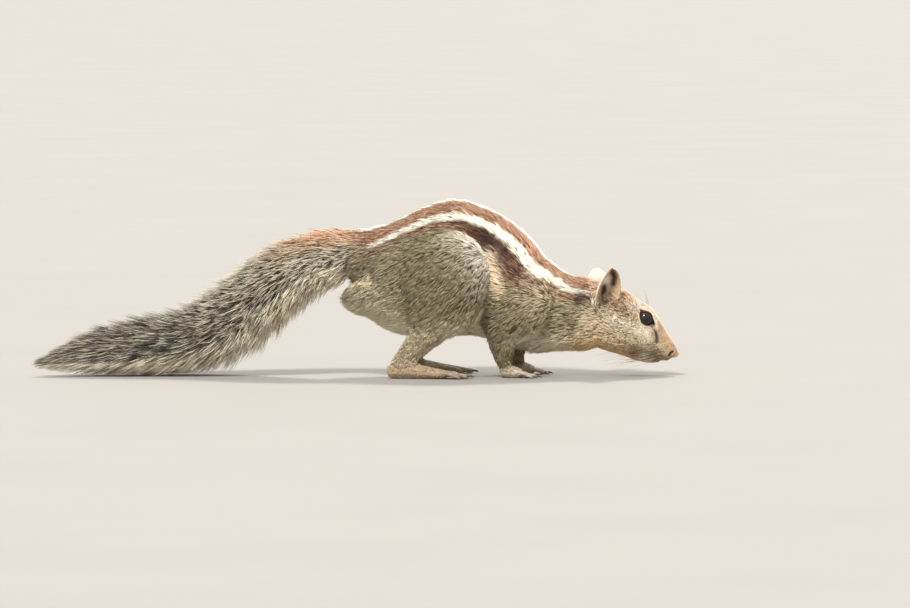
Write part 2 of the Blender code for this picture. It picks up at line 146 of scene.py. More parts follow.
FLOOR_TINTS = ((133, 130, 125), (139, 136, 131))


# ---------------------------------------------------------------- arithmetic on arrays


def linear(colour):
    """A colour given from 0 to 255 as the light that it sends."""
    value = np.asarray(colour, float) / 255
    return np.where(value <= 0.04045, value / 12.92, ((value + 0.055) / 1.055) ** 2.4)


def unit(vectors):
    """Vectors brought to the length 1."""
    return vectors / np.maximum(np.linalg.norm(vectors, axis=-1, keepdims=True), 1e-9)


def dot(a, b):
    return np.sum(a * b, axis=-1)


def ramp(value, low, high):
    """0 at low, 1 at high and a smooth step between them."""
    t = np.clip((value - low) / (high - low), 0, 1)
    return t * t * (3 - 2 * t)


def mixed(a, b, share):
    """a where share is 0 and b where it is 1, along the last axis."""
    share = np.asarray(share, float)[..., None]
    return a * (1 - share) + b * share


def plain(colour, count):
    """The same colour for each of many points."""
    return np.tile(linear(colour), (count, 1))


def tinted(colours, tint, share):
    """Colours drawn towards a named one, by a share for each."""
    return mixed(colours, linear(tint), share)


def fading(distance, width):
    """1 where the distance is 0, falling off over about one width."""
    return np.exp(-((distance / width) ** 2))


def level(table, place):
    """Reads a small table of (place, value) rows at each place."""
    places, values = zip(*table)
    return np.interp(place, places, values)


def waves(points, length, seed):
    """A smooth field between about -1 and 1, whose bumps are about one length across."""
    draw = np.random.default_rng(seed)
    ways = unit(draw.normal(size=(7, 3))) * (2 * np.pi / length) * draw.uniform(0.6, 1.5, (7, 1))
    return np.sin(points @ ways.T + draw.uniform(0, 2 * np.pi, 7)).sum(axis=1) / 3.2


def evened(line, rounds=2):
    """A line with its bends softened and its ends kept."""
    line = line.copy()
    for _ in range(rounds):
        line[1:-1] = (line[:-2] + 2 * line[1:-1] + line[2:]) / 4
    return line


def run_of(line):
    """How far along a bent line each of its points is."""
    return np.r_[0, np.cumsum(np.linalg.norm(np.diff(line, axis=0), axis=1))]


def columns_at(place, run, rows):
    """Rows of numbers read between their places along a run."""
    return np.stack([np.interp(place, run, rows[:, k]) for k in range(rows.shape[1])], axis=1)


BATCH = 20000  # places measured at a time, to spare memory


def nearest_spots(places, spots):
    """The nearest of a few spots to each place, as its index, and how far it is."""
    nearest = np.empty(len(places), int)
    far = np.empty(len(places))
    for start in range(0, len(places), BATCH):
        part = slice(start, start + BATCH)
        apart = ((places[part, None, :] - spots[None]) ** 2).sum(axis=2)
        nearest[part] = apart.argmin(axis=1)
        far[part] = np.sqrt(apart.min(axis=1))
    return nearest, far


def line_distance(places, line, count=60):
    """How far each place lies from a bent line, and how far along it the nearest spot is, from 0 to 1."""
    line = np.asarray(line, float)
    run = run_of(line)
    share = np.linspace(0, 1, count)
    spots = columns_at(share, run / run[-1], line)
    nearest, far = nearest_spots(places, spots)
    return far, share[nearest]


def blob(places, middle, radius):
    """1 at the middle of a round spot, falling off over about its radius."""
    return np.exp(-((places - np.array(middle)) ** 2).sum(axis=1) / radius**2)


def streak(places, line, width):
    """1 along a bent line, falling off to each side over about the width."""
    return fading(line_distance(places, line)[0], width)


def joined(parts):
    """The points and triangles of many closed parts as one."""
    starts = np.cumsum([0] + [len(points) for points, _ in parts])
    faces = [part_faces + start for (_, part_faces), start in zip(parts, starts)]
    return np.concatenate([points for points, _ in parts]), np.concatenate(faces)


class Surface:
    """A closed mesh of triangles, in millimetres."""

    def __init__(self, points, faces):
        self.points = points
        self.faces = faces
        ends = np.sort(np.concatenate([faces[:, [0, 1]], faces[:, [1, 2]], faces[:, [2, 0]]]), axis=1)
        keys = np.unique(ends[:, 0].astype(np.int64) * len(points) + ends[:, 1])
        self.edges = np.stack([keys // len(points), keys % len(points)], axis=1)
        self.near = np.maximum(np.bincount(self.edges.ravel(), minlength=len(points)), 1)

    def face_crosses(self):
        a, b, c = (self.points[self.faces[:, k]] for k in range(3))
        return np.cross(b - a, c - a)

    def normals(self):
        crosses = self.face_crosses()
        corners = self.faces.ravel()
        sums = [np.bincount(corners, np.repeat(crosses[:, k], 3), len(self.points)) for k in range(3)]
        return unit(np.stack(sums, axis=1))

    def around(self, values):
        """The mean of each point's neighbours."""
        first, second = self.edges.T
        count = len(self.points)
        columns = [
            np.bincount(first, column[second], count) + np.bincount(second, column[first], count)
            for column in np.atleast_2d(values.T)
        ]
        means = np.stack(columns, axis=1) / self.near[:, None]
        return means if values.ndim > 1 else means[:, 0]

    def spread(self, values, rounds, weight=1.0):
        """Values evened out over the surface."""
        if np.ndim(weight):
            weight = weight[:, None] if values.ndim > 1 else weight
        for _ in range(rounds):
            values = values + weight * (self.around(values) - values)
        return values


# ---------------------------------------------------------------- meshes and materials


def make_mesh(name, points, faces, scale=MM):
    """A smooth mesh of triangles, from points in millimetres."""
    mesh = bpy.data.meshes.new(name)
    mesh.vertices.add(len(points))
    mesh.vertices.foreach_set("co", (np.asarray(points) * scale).astype(np.float32).ravel())
    mesh.loops.add(faces.size)
    mesh.loops.foreach_set("vertex_index", faces.astype(np.int32).ravel())
    mesh.polygons.add(len(faces))
    mesh.polygons.foreach_set("loop_start", np.arange(0, faces.size, 3, dtype=np.int32))
    mesh.polygons.foreach_set("use_smooth", np.ones(len(faces), bool))
    mesh.update(calc_edges=True)
    return mesh


def make_piece(name, points, faces, material, colours, places=None):
    """An object of the animal, with a colour at each point and its points' places on the bake's map."""
    mesh = make_mesh(name, points, faces)
    attribute = mesh.color_attributes.new("Coat", "FLOAT_COLOR", "POINT")
    opaque = np.concatenate([np.clip(colours, 0, 1), np.ones((len(colours), 1))], axis=1)
    attribute.data.foreach_set("color", opaque.astype(np.float32).ravel())
    if places is not None:
        layer = mesh.uv_layers.new(name="OFBake")
        layer.uv.foreach_set("vector", places[faces.ravel()].astype(np.float32).ravel())
    mesh.materials.append(material)
    piece = bpy.data.objects.new(name, mesh)
    bpy.context.scene.collection.objects.link(piece)
    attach(piece, "root")
    return piece


def new_material(name, roughness, specular):
    """A material with its node tree and its shader."""
    material = bpy.data.materials.new(name)
    material.use_nodes = True
    tree = material.node_tree
    shader = tree.nodes["Principled BSDF"]
    shader.inputs["Roughness"].default_value = roughness
    shader.inputs["Specular IOR Level"].default_value = specular
    return material, tree, shader


def add_node(tree, kind, **settings):
    """A node with its inputs set by name, or linked where the setting is another node's output."""
    node = tree.nodes.new(kind)
    for name, value in settings.items():
        if isinstance(value, (str, bool)):
            setattr(node, name, value)
        elif isinstance(value, bpy.types.NodeSocket):
            tree.links.new(value, node.inputs[name.replace("_", " ")])
        else:
            node.inputs[name.replace("_", " ")].default_value = value
    return node


def painted_material(name, roughness, specular, grain, grain_depth, bump=0, bump_distance=0):
    """A material that takes its colour from the painted points, with a fine grain and a bump of its own."""
    material, tree, shader = new_material(name, roughness, specular)
    place = add_node(tree, "ShaderNodeTexCoord")
    paint = add_node(tree, "ShaderNodeVertexColor", layer_name="Coat")
    noise = add_node(tree, "ShaderNodeTexNoise", Vector=place.outputs["Object"], Scale=grain, Detail=3.0)
    shade = add_node(tree, "ShaderNodeMapRange", Value=noise.outputs["Fac"])
    shade.inputs["From Min"].default_value = 0.25
    shade.inputs["From Max"].default_value = 0.75
    shade.inputs["To Min"].default_value = 1 - grain_depth
    shade.inputs["To Max"].default_value = 1 + grain_depth
    tint = add_node(tree, "ShaderNodeVectorMath", operation="SCALE", Scale=shade.outputs["Result"])
    tree.links.new(paint.outputs["Color"], tint.inputs["Vector"])
    tree.links.new(tint.outputs["Vector"], shader.inputs["Base Color"])
    if bump:
        rough = add_node(tree, "ShaderNodeTexNoise", Vector=place.outputs["Object"], Scale=bump, Detail=4.0)
        relief = add_node(
            tree, "ShaderNodeBump", Height=rough.outputs["Fac"], Strength=0.6, Distance=bump_distance
        )
        tree.links.new(relief.outputs["Normal"], shader.inputs["Normal"])
    return material


def skin_material():
    return painted_material(
        "skin", roughness=0.8, specular=0.25, grain=1800.0, grain_depth=0.25, bump=2600.0, bump_distance=3e-4
    )


def coat_material():
    material = painted_material("coat", roughness=0.62, specular=0.28, grain=900.0, grain_depth=0.12)
    shader = material.node_tree.nodes["Principled BSDF"]
    shader.inputs["Sheen Weight"].default_value = 0.12
    shader.inputs["Sheen Roughness"].default_value = 0.5
    return material


def eye_material():
    return painted_material("eye_gloss", roughness=0.04, specular=0.5, grain=700.0, grain_depth=0.3)


def claw_material():
    return painted_material(
        "claw_horn", roughness=0.35, specular=0.5, grain=2500.0, grain_depth=0.2, bump=3000.0,
        bump_distance=8e-5,
    )


def whisker_material():
    return painted_material("whisker_hair", roughness=0.4, specular=0.4, grain=800.0, grain_depth=0.2)


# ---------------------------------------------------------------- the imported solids


def solid_arrays(node):
    """A node's points, in millimetres and each once, and its triangles."""
    mesh = node.data
    points = np.empty(len(mesh.vertices) * 3, np.float32)
    mesh.vertices.foreach_get("co", points)
    mesh.calc_loop_triangles()
    faces = np.empty(len(mesh.loop_triangles) * 3, np.int32)
    mesh.loop_triangles.foreach_get("vertices", faces)
    points = points.reshape(-1, 3).astype(float) / MM
    _, first, index = np.unique(np.round(points, 3), axis=0, return_index=True, return_inverse=True)
    faces = index.reshape(-1)[faces].reshape(-1, 3)
    whole = (faces[:, 0] != faces[:, 1]) & (faces[:, 1] != faces[:, 2]) & (faces[:, 0] != faces[:, 2])
    return points[first], faces[whole]


def kind_of(name):
    """The body part that a solid is, without its side."""
    return name.removesuffix("_left").removesuffix("_right")


def on_parts(kinds, *names):
    """Which points or faces are on one of these body parts."""
    return np.isin(kinds, [KINDS.index(name) for name in names])


def triangle_areas(corners):
    """The areas of triangles whose corners are of shape (n, 3, 3)."""
    return np.linalg.norm(np.cross(corners[:, 1] - corners[:, 0], corners[:, 2] - corners[:, 0]), axis=1) / 2


def spots_on(face_count, count, weights, draw):
    """Random spots on triangles: the triangle that each is on, and what share each corner has in it."""
    chosen = draw.choice(face_count, count, p=weights / weights.sum())
    u, v = np.sqrt(draw.random(count)), draw.random(count)
    return chosen, np.stack([1 - u, u * (1 - v), u * v], axis=1)


def surface_samples(points, faces, count):
    """Points spread evenly over triangles."""
    corners = points[faces]
    chosen, shares = spots_on(len(faces), count, triangle_areas(corners), np.random.default_rng(3))
    return (corners[chosen] * shares[..., None]).sum(axis=1)


class Tail:
    """The tail's middle line, from the root to the tip, and how far its coat reaches on each side."""

    STATIONS = 26
    SLAB = 3.0  # half the thickness of the slice that is looked at for each station
    WIDEST = 24.0
    FEWEST = 40  # samples that a slice needs before its middle is trusted
    CUT_FRONT = 16.0  # the trunk cuts into the root's solid this far back
    LEADS = 3  # stations that are added in there
    ROOT_SHARE = 0.78  # the tail's thickness where it leaves the trunk

    def __init__(self, solids):
        parts = [solids[name] for name in TAIL_PARTS]
        samples = np.concatenate([surface_samples(points, faces, 6000) for points, faces in parts])
        front = samples[:, 0].max() - self.CUT_FRONT
        x = np.linspace(front, samples[:, 0].min(), self.STATIONS)
        line = np.array([samples[np.abs(samples[:, 0] - here) < self.SLAB].mean(axis=0) for here in x])
        for _ in range(6):
            line = self.recentred(samples, evened(line))
        line = evened(line)
        forward = unit(unit(line[0] - line[1]) + np.array((1.0, 0.0, 0.0)))
        steps = np.linspace(self.CUT_FRONT, 0, self.LEADS, endpoint=False)[:, None]
        self.line = np.concatenate([line[0] + forward * steps, line])
        self.run = run_of(self.line)
        self.length = self.run[-1]
        self.ways = unit(np.gradient(self.line, axis=0))
        self.half_width, self.half_height = self.reaches(samples, line)

    def slabs(self, samples, line):
        """For each station: its middle, its ways to the left and up, and the samples in a slice there."""
        ways = unit(np.gradient(line, axis=0))
        for middle, along in zip(line, ways):
            left = unit(np.cross(along, (0.0, 0.0, 1.0)))
            up = np.cross(left, along)
            offset = samples - middle
            near = (np.abs(offset @ along) < self.SLAB) & (np.linalg.norm(offset, axis=1) < self.WIDEST)
            yield middle, left, up, offset[near]

    def recentred(self, samples, line):
        """Each station moved to the middle of the samples round it."""
        middles = []
        for middle, left, up, offset in self.slabs(samples, line):
            if len(offset) > self.FEWEST:
                for way in (left, up):
                    across = offset @ way
                    middle = middle + way * (across.min() + across.max()) / 2
            middles.append(middle)
        middles = np.array(middles)
        middles[[0, -1]] = line[[0, -1]]
        return middles

    def reaches(self, samples, line):
        """The envelope's half width and half height at each station, thinner towards the trunk."""
        rows = []
        for _, left, up, offset in self.slabs(samples, line):
            rows.append([np.percentile(np.abs(offset @ way), 97) for way in (left, up)])
        leads = np.linspace(self.ROOT_SHARE, 1, self.LEADS, endpoint=False)[:, None] * rows[0]
        return evened(np.concatenate([leads, rows])).T

    def at(self, place):
        """The middle, and the ways along, to the animal's left and up, at each place in millimetres."""
        middle = columns_at(place, self.run, self.line)
        along = unit(columns_at(place, self.run, self.ways))
        left = unit(np.cross(along, (0.0, 0.0, 1.0)))
        return middle, along, left, np.cross(left, along)

    def seen_from(self, points):
        """Each point's place along the tail, its middle there, and how far it lies to the left and above."""
        fine = np.linspace(0, self.length, 300)
        place = fine[nearest_spots(points, self.at(fine)[0])[0]]
        middle, _, left, up = self.at(place)
        return place, middle, dot(points - middle, left), dot(points - middle, up)

    def ellipse(self, place, side, up):
        """The envelope's distance from the middle, in the way of (side, up)."""
        wide = np.interp(place, self.run, self.half_width)
        high = np.interp(place, self.run, self.half_height)
        away = np.maximum(np.hypot(side, up), 1e-6)
        return 1 / np.hypot(side / away / wide, up / away / high)

    def core(self, points):
        """The solids' points drawn in to the thin body of the tail."""
        place, middle, side, up = self.seen_from(points)
        share = place / self.length
        scale = level(TAIL_CORE, share) / self.ellipse(place, side, up)
        moved, along, left, rise = self.at(place * TAIL_CORE_LENGTH)
        moved = moved - along * (ROOT_SET_BACK * (1 - ramp(share, 0.0, 0.08)))[:, None]
        return moved + left * (side * scale)[:, None] + rise * (up * scale)[:, None]


class Head:
    """The head's own frame, found from the eyes and the nose."""

    def __init__(self):
        left, right, nose = (self.middle(name) for name in ("eye_left", "eye_right", "nose"))
        between = (left + right) / 2
        self.y = unit(left - right)
        to_nose = unit(nose - between - self.y * dot(nose - between, self.y))
        over = np.cross(to_nose, self.y)
        drop = math.atan2(EYE_IN_HEAD[2] - NOSE_IN_HEAD[2], NOSE_IN_HEAD[0] - EYE_IN_HEAD[0])
        self.x = to_nose * math.cos(drop) + over * math.sin(drop)
        self.z = np.cross(self.x, self.y)
        self.axes = np.stack([self.x, self.y, self.z])
        self.origin = between - self.x * EYE_IN_HEAD[0] - self.z * EYE_IN_HEAD[2]

    @staticmethod
    def middle(name):
        low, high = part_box(name)
        return np.array((low + high) / 2) / MM

    def seen_from(self, points):
        """The animal's points in the head's frame."""
        return (points - self.origin) @ self.axes.T

    def out(self, points):
        """The head's points in the animal's frame."""
        return np.asarray(points) @ self.axes + self.origin

    def turned(self, vectors):
        """The head's ways in the animal's frame."""
        return np.asarray(vectors) @ self.axes

    def eye(self, side):
        """The middle of an eye and the way that it faces: 1 is the left eye and -1 the right."""
        mirror = np.array((1, side, 1))
        return self.out(EYE_IN_HEAD * mirror), self.turned(unit(EYE_AXIS * mirror))


# ---------------------------------------------------------------- the skin


def inflated(points, faces, distance):
    """The points of a solid moved out from it."""
    return points + Surface(points, faces).normals() * distance


def voxel_union(parts):
    """One closed surface round all the parts, as a Blender mesh in millimetres."""
    mesh = make_mesh("union", *joined(parts), 1.0)
    helper = bpy.data.objects.new("union", mesh)
    bpy.context.scene.collection.objects.link(helper)
    remesh = helper.modifiers.new("Remesh", "REMESH")
    remesh.mode = "VOXEL"
    remesh.voxel_size = VOXEL
    evaluated = helper.evaluated_get(bpy.context.evaluated_depsgraph_get())
    result = bpy.data.meshes.new_from_object(evaluated)
    bpy.data.objects.remove(helper)
    bpy.data.meshes.remove(mesh)
    return result


# What is split finer: the head from this far ahead of the nape, and the feet, by their top and back end.
HEAD_FROM = 4
FEET_TOP = 6.5
FEET_BACK = 12.0


def shape_arrays(shape):
    """Points and triangles of a bmesh, which is freed."""
    bmesh.ops.triangulate(shape, faces=shape.faces)
    points = np.array([vertex.co[:] for vertex in shape.verts])
    faces = np.array([[vertex.index for vertex in face.verts] for face in shape.faces])
    shape.free()
    return points, faces


def finer_parts(mesh, head):
    """The mesh as a surface of triangles, with each face of the head and the feet split in four."""
    shape = bmesh.new()
    shape.from_mesh(mesh)
    nape = Vector(head.origin)
    ahead = Vector(head.x)
    chosen = {
        edge
        for face in shape.faces
        if (face.verts[0].co - nape).dot(ahead) > HEAD_FROM
        or (face.verts[0].co.z < FEET_TOP and FEET_BACK < face.verts[0].co.x < nape.x)
        for edge in face.edges
    }
    bmesh.ops.subdivide_edges(shape, edges=list(chosen), cuts=1, use_grid_fill=True)
    bpy.data.meshes.remove(mesh)
    return Surface(*shape_arrays(shape))


def ellipsoid(middle, half_sizes, around=32, over=20):
    """A closed ball of triangles, stretched along x, y and z."""
    shape = bmesh.new()
    bmesh.ops.create_uvsphere(shape, u_segments=around, v_segments=over, radius=1.0)
    points, faces = shape_arrays(shape)
    return points * half_sizes + middle, faces


def nearest_kinds(skin, parts, names):
    """The kind of body part that lies nearest to each point, as its index in KINDS."""
    points, faces = joined(parts)
    sizes = [len(part_faces) for _, part_faces in parts]
    owners = np.repeat([KINDS.index(kind_of(name)) for name in names], sizes)
    tree = BVHTree.FromPolygons(points.tolist(), faces.tolist())
    return np.array([owners[tree.find_nearest(point)[2]] for point in skin.points.tolist()])


def table_of(field, kinds):
    """One of the columns of FUR, by body part."""
    return np.array([getattr(FUR[name], field) for name in KINDS])[kinds]


def muzzle_share(in_head):
    """1 behind the eyes, falling to a third at the nose: the face's fur shortens this way."""
    return 1 - 0.68 * ramp(in_head[:, 0], 8, 30)


def lens(along, over, half_long, half_high):
    """Distance outside a shape like a lens, between two arcs that meet at its corners."""
    arc = (half_long**2 + half_high**2) / (2 * half_high)
    drop = arc - half_high
    return np.maximum(np.hypot(along, over + drop), np.hypot(along, over - drop)) - arc


def eye_places(points, head, side):
    """The eye's middle, and for each point its distance and way from that, and how far it lies outside the
    opening and the liner."""
    middle, axis = head.eye(side)
    slant = math.radians(EYE_SLANT)
    long_way = head.turned(np.array((math.cos(slant), 0, -math.sin(slant))))
    long_way = unit(long_way - axis * dot(long_way, axis))
    short_way = np.cross(long_way, axis) * side
    offset = points - middle
    away = np.linalg.norm(offset, axis=1)
    ways = offset / np.maximum(away, 1e-6)[:, None]
    ahead = dot(ways, axis)
    along = np.arctan2(dot(ways, long_way), ahead) * EYE_RADIUS
    over = np.arctan2(dot(ways, short_way), ahead) * EYE_RADIUS
    edge = np.where(ahead > 0.05, lens(along, over, *APERTURE), FAR)
    liner = lens(dot(offset, long_way) - LINER_AHEAD, dot(offset, short_way), *LINER)
    liner = np.where(dot(offset, axis) > -1.5, liner, FAR)
    return middle, away, ways, edge, liner


def shape_lids(skin, head):
    """Draws lids over each eyeball, with an almond opening whose edge stands just proud of the ball."""
    edges = np.full(len(skin.points), FAR)
    liners = edges.copy()
    for side in (1, -1):
        middle, away, ways, edge, liner = eye_places(skin.points, head, side)
        near = (away < 6.5) & (edge < 3.2)
        rim = EYE_RADIUS + LID_THICKNESS * (1 - 0.5 * ramp(edge, 0.5, 1.6))
        target = np.where(edge < 0, EYE_RADIUS - 0.5 + 0.5 * ramp(edge, -0.3, 0.0), rim)
        hold = 1 - ramp(edge, 0.8, 3.0)
        outside = np.maximum(away, EYE_RADIUS + 0.12)
        blended = np.where(edge < 0, target, outside + (target - outside) * hold)
        skin.points[near] = (middle + ways * blended[:, None])[near]
        edges = np.where(near, np.minimum(edges, edge), edges)
        liners = np.where(away < FAR, np.minimum(liners, liner), liners)
    return edges, liners


RUMP_HOLLOW = (40.5, 4.4, 5.6)  # the middle height of the hollow under the tail, its spread and its depth
RUMP_LOBE = (31.0, 4.5, 0.5)  # and of the lobe below it
RUMP_TUCK = (12.0, 10.0, 3.4)  # where along x the lobe's underside is lifted, over what spread and how far


def shape_rump(skin, kinds):
    """Presses in the trunk's back face under the root of the tail, and draws out the lobe below that."""
    back_face = ramp(-skin.normals()[:, 0], 0.1, 0.6) * ramp(-skin.points[:, 0], -12, -2)
    back_face = skin.spread(back_face * on_parts(kinds, "trunk", "thigh"), 10)
    z = skin.points[:, 2]
    hollow, lobe = (depth * fading(z - at, spread) for at, spread, depth in (RUMP_HOLLOW, RUMP_LOBE))
    skin.points[:, 0] += skin.spread(back_face * (hollow - lobe), 20)
    middle, spread, rise = RUMP_TUCK
    under = ramp(-skin.normals()[:, 2], 0.0, 0.6) * ramp(z, 18, 24) * (1 - ramp(z, 32, 38))
    under = under * on_parts(kinds, "trunk", "thigh")
    skin.points[:, 2] += skin.spread(under * rise * fading(skin.points[:, 0] - middle, spread), 30)


# How far the top of the head and its underside are raised, by how far ahead of the nape.
CROWN_RISE = ((3, 0.8), (9, 1.8), (14, 1.8), (19, 1.3), (23, 0.6), (28, 0.3), (33, 0.7), (37, 0.3))
CHIN_RISE = ((3, 0.3), (12, 0.8), (20, 1.5), (30, 1.7), (34, 1.2), (37, 0.2))
LOWER_LIP = ((33.5, -8.0), 2.6)  # where the lip is rounded off, and how far round that


def shape_crown(skin, kinds, head):
    """Raises the forehead and the brows, draws up the chin and the throat, and rounds the lower lip."""
    place = head.seen_from(skin.points)
    up = skin.normals() @ head.z
    on = on_parts(kinds, "head", "lower_jaw") * 1.0
    on = skin.spread(on, 12) * ramp(place[:, 0], 2, 8)
    crown = level(CROWN_RISE, place[:, 0]) * ramp(up, 0.0, 0.6)
    chin = level(CHIN_RISE, place[:, 0]) * ramp(-up, 0.0, 0.6)
    skin.points += head.z * skin.spread(on * (crown + chin), 12)[:, None]
    lip = blob(head.seen_from(skin.points)[:, [0, 2]], *LOWER_LIP)
    skin.points = skin.spread(skin.points, 30, np.where(lip > 0.02, lip, 0.0))


# These lines and places are on both sides of the face, as x and z.
NOSTRIL = ((35.7, -2.2), (35.1, -3.1), (34.9, -4.3))
NOSTRIL_WIDTH = 0.42
MOUTH_LINE = ((33.8, -7.3), (31.6, -8.5), (28.5, -9.4), (23.5, -10.1), (20.8, -9.9))
MOUTH_WIDTH = 0.38
LIP_GROOVE_WIDTH = 0.3
WHISKER_PAD = (31.0, -4.6)
LIP_FRONT = (34.9, -5.4)


def shape_muzzle(skin, head):
    """Swells the whisker pads and the lip, and presses in the nostrils, the mouth and the groove between."""
    in_head = head.seen_from(skin.points)
    side = in_head[:, [0, 2]]
    normals = skin.normals()
    swell = 0.45 * blob(side, WHISKER_PAD, 2.8) + 0.65 * blob(side, LIP_FRONT, 1.5)
    sideways = np.abs(normals @ head.y)
    slit = streak(side, NOSTRIL, NOSTRIL_WIDTH) * ramp(sideways, 0.25, 0.5)
    side_face = np.clip(ramp(sideways, 0.1, 0.4) + ramp(in_head[:, 0], 32, 34), 0, 1)
    mouth = streak(side, MOUTH_LINE, MOUTH_WIDTH) * side_face
    groove = fading(in_head[:, 1], LIP_GROOVE_WIDTH)
    groove = groove * ramp(in_head[:, 0], 34.0, 35.5) * ramp(-in_head[:, 2], 2.0, 4.5)
    skin.points += normals * (swell - 0.75 * slit - 0.3 * mouth - 0.35 * groove)[:, None]


TOE_GROOVE = (0.75, 0.34)  # depth and half width
TOE_REACH = (("fore", "forepaw", 3.6), ("hind", "hind_foot", 6.4))  # how far behind the claws the toes part
TOE_TIP = (0.6, 1.1)  # how far the toes swell round the roots of the claws, and how wide
CLAW_BACK = 0.35  # the length of a claw's thick end that is looked at to find its root


def claw_back(points):
    """The points of a claw's thick end, which faces back."""
    return points[points[:, 0] < points[:, 0].min() + CLAW_BACK]


def toe_grooves(skin, kinds, solids):
    """How deep each point of the feet lies in a groove between two toes, from 0 to 1."""
    grooves = np.zeros(len(skin.points))
    for foot, kind, reach in TOE_REACH:
        on = on_parts(kinds, kind)
        for side in ("left", "right"):
            names = [name for name in sorted(solids) if name.startswith(f"{foot}_{side}_claw_")]
            roots = np.array([claw_back(solids[name][0]).mean(axis=0)[:2] for name in names])
            roots = roots[roots[:, 1].argsort()]
            middle = roots.mean(axis=0)
            for first, second in zip(roots, roots[1:]):
                end = (first + second) / 2
                start = np.array((end[0] - reach, middle[1] + 0.65 * (end[1] - middle[1])))
                far, along = line_distance(skin.points[on][:, :2], (start, end + (1.0, 0.0)))
                grooves[on] = np.maximum(grooves[on], fading(far, TOE_GROOVE[1]) * ramp(along, 0.0, 0.45))
    return grooves


def shape_toes(skin, kinds, solids):
    """Swells the toes round the roots of the claws, and parts them with grooves on top."""
    grooves = toe_grooves(skin, kinds, solids)
    normals = skin.normals()
    roots = np.array([claw_back(solids[name][0]).mean(axis=0) for name in sorted(solids) if "_claw_" in name])
    on = on_parts(kinds, "hind_foot", "forepaw")
    swell = np.zeros(len(skin.points))
    near = np.linalg.norm(skin.points[on][:, None] - roots[None], axis=2).min(axis=1)
    swell[on] = TOE_TIP[0] * fading(near, TOE_TIP[1]) * (1 - grooves[on])
    cut = TOE_GROOVE[0] * grooves * ramp(normals[:, 2], 0.0, 0.5)
    skin.points += normals * (swell - cut)[:, None]


class Ear:
    """A leaf rounded at the tip and hollowed outwards, in the head's frame, deepest behind its front edge."""

    def __init__(self, side):
        mirror = np.array((1, side, 1))
        self.base = np.array(EAR_BASE) * mirror
        self.rise = np.array(EAR_TIP) * mirror - self.base
        if side > 0:
            self.rise += LEFT_EAR_LAID
        self.up = unit(self.rise)
        front = np.array(EAR_FRONT) * mirror
        self.front = unit(front - self.up * dot(front, self.up))
        self.out = np.cross(self.up, self.front) * side

    @staticmethod
    def half(v):
        """Half the leaf's width, at a share v of its height."""
        wide = EAR_HALF_WIDTH * np.minimum(0.70 + 0.9 * v, 1.0)
        return wide * np.sqrt(np.clip(1 - np.maximum(v - 0.3, 0) ** 2 / 0.49, 0, 1))

    @staticmethod
    def reach(u):
        """How far across it is from the deepest line to the edge on that side."""
        return np.where(u < EAR_DEEPEST, 1 + EAR_DEEPEST, 1 - EAR_DEEPEST)

    def at(self, u, v):
        """The leaf's middle surface: u is -1 at its back edge and 1 at its front, and v is 1 at its tip."""
        half = self.half(v)[..., None]
        hollow = ((u - EAR_DEEPEST) / self.reach(u)) ** 2 - 0.55
        depth = EAR_HOLLOW * hollow[..., None] * half / EAR_HALF_WIDTH
        return self.base + self.rise * v[..., None] + self.front * (u[..., None] * half) + self.out * depth

    def shell(self, across=20, up=20):
        """The leaf as a closed solid, in the head's frame."""
        heights = np.sin(np.linspace(0, 0.48 * np.pi, up))
        v, u = np.meshgrid(heights, np.linspace(-1, 1, across), indexing="ij")
        middle = self.at(u, v)
        facing = unit(np.cross(np.gradient(middle, axis=0), np.gradient(middle, axis=1)))
        facing *= np.sign(dot(facing, self.out))[..., None]
        layers = [middle + facing * EAR_THICKNESS / 2, middle - facing * EAR_THICKNESS / 2]
        points = np.concatenate([layer.reshape(-1, 3) for layer in layers])
        size = up * across
        index = np.arange(size).reshape(up, across)
        corners = (index[:-1, :-1], index[:-1, 1:], index[1:, 1:], index[1:, :-1])
        a, b, c, d = (corner.ravel() for corner in corners)
        rim = np.concatenate([index[0], index[1:, -1], index[-1, -2::-1], index[-2:0:-1, 0]])
        ahead = np.roll(rim, -1)
        sheets = [(a, b, c), (a, c, d), (a + size, c + size, b + size), (a + size, d + size, c + size)]
        edge = [(ahead, rim, rim + size), (ahead, rim + size, ahead + size)]
        faces = np.concatenate([np.stack(triple, axis=1) for triple in sheets + edge])
        volume = dot(points[faces[:, 0]], np.cross(points[faces[:, 1]], points[faces[:, 2]])).sum()
        return points, faces if volume > 0 else faces[:, ::-1]

    def hollow_facing(self, places, facing):
        """1 on the hollow side of the leaf and 0 on its back, by place and the way that the surface faces."""
        offset = places - self.base
        v = dot(offset, self.up) / np.linalg.norm(self.rise)
        u = np.clip(dot(offset, self.front) / np.maximum(self.half(v), 0.8), -1.1, 1.1)
        slope = 2 * (u - EAR_DEEPEST) / self.reach(u) ** 2 * EAR_HOLLOW / EAR_HALF_WIDTH
        normal = unit(self.out - self.front * slope[:, None])
        return ramp(dot(facing, normal), -0.15, 0.25)


def flesh_parts(solids, names, tail, head):
    """The flesh solids, a little inflated, with the tail's core and the ears' leaves in place of theirs."""
    parts = []
    for name in names:
        points, faces = solids[name]
        if name.startswith("tail_"):
            points = tail.core(points)
        if name.startswith("ear_"):
            points, faces = Ear(1 if name.endswith("left") else -1).shell()
            points = head.out(points)
        parts.append((inflated(points, faces, CLOSED_GAP), faces))
    return parts


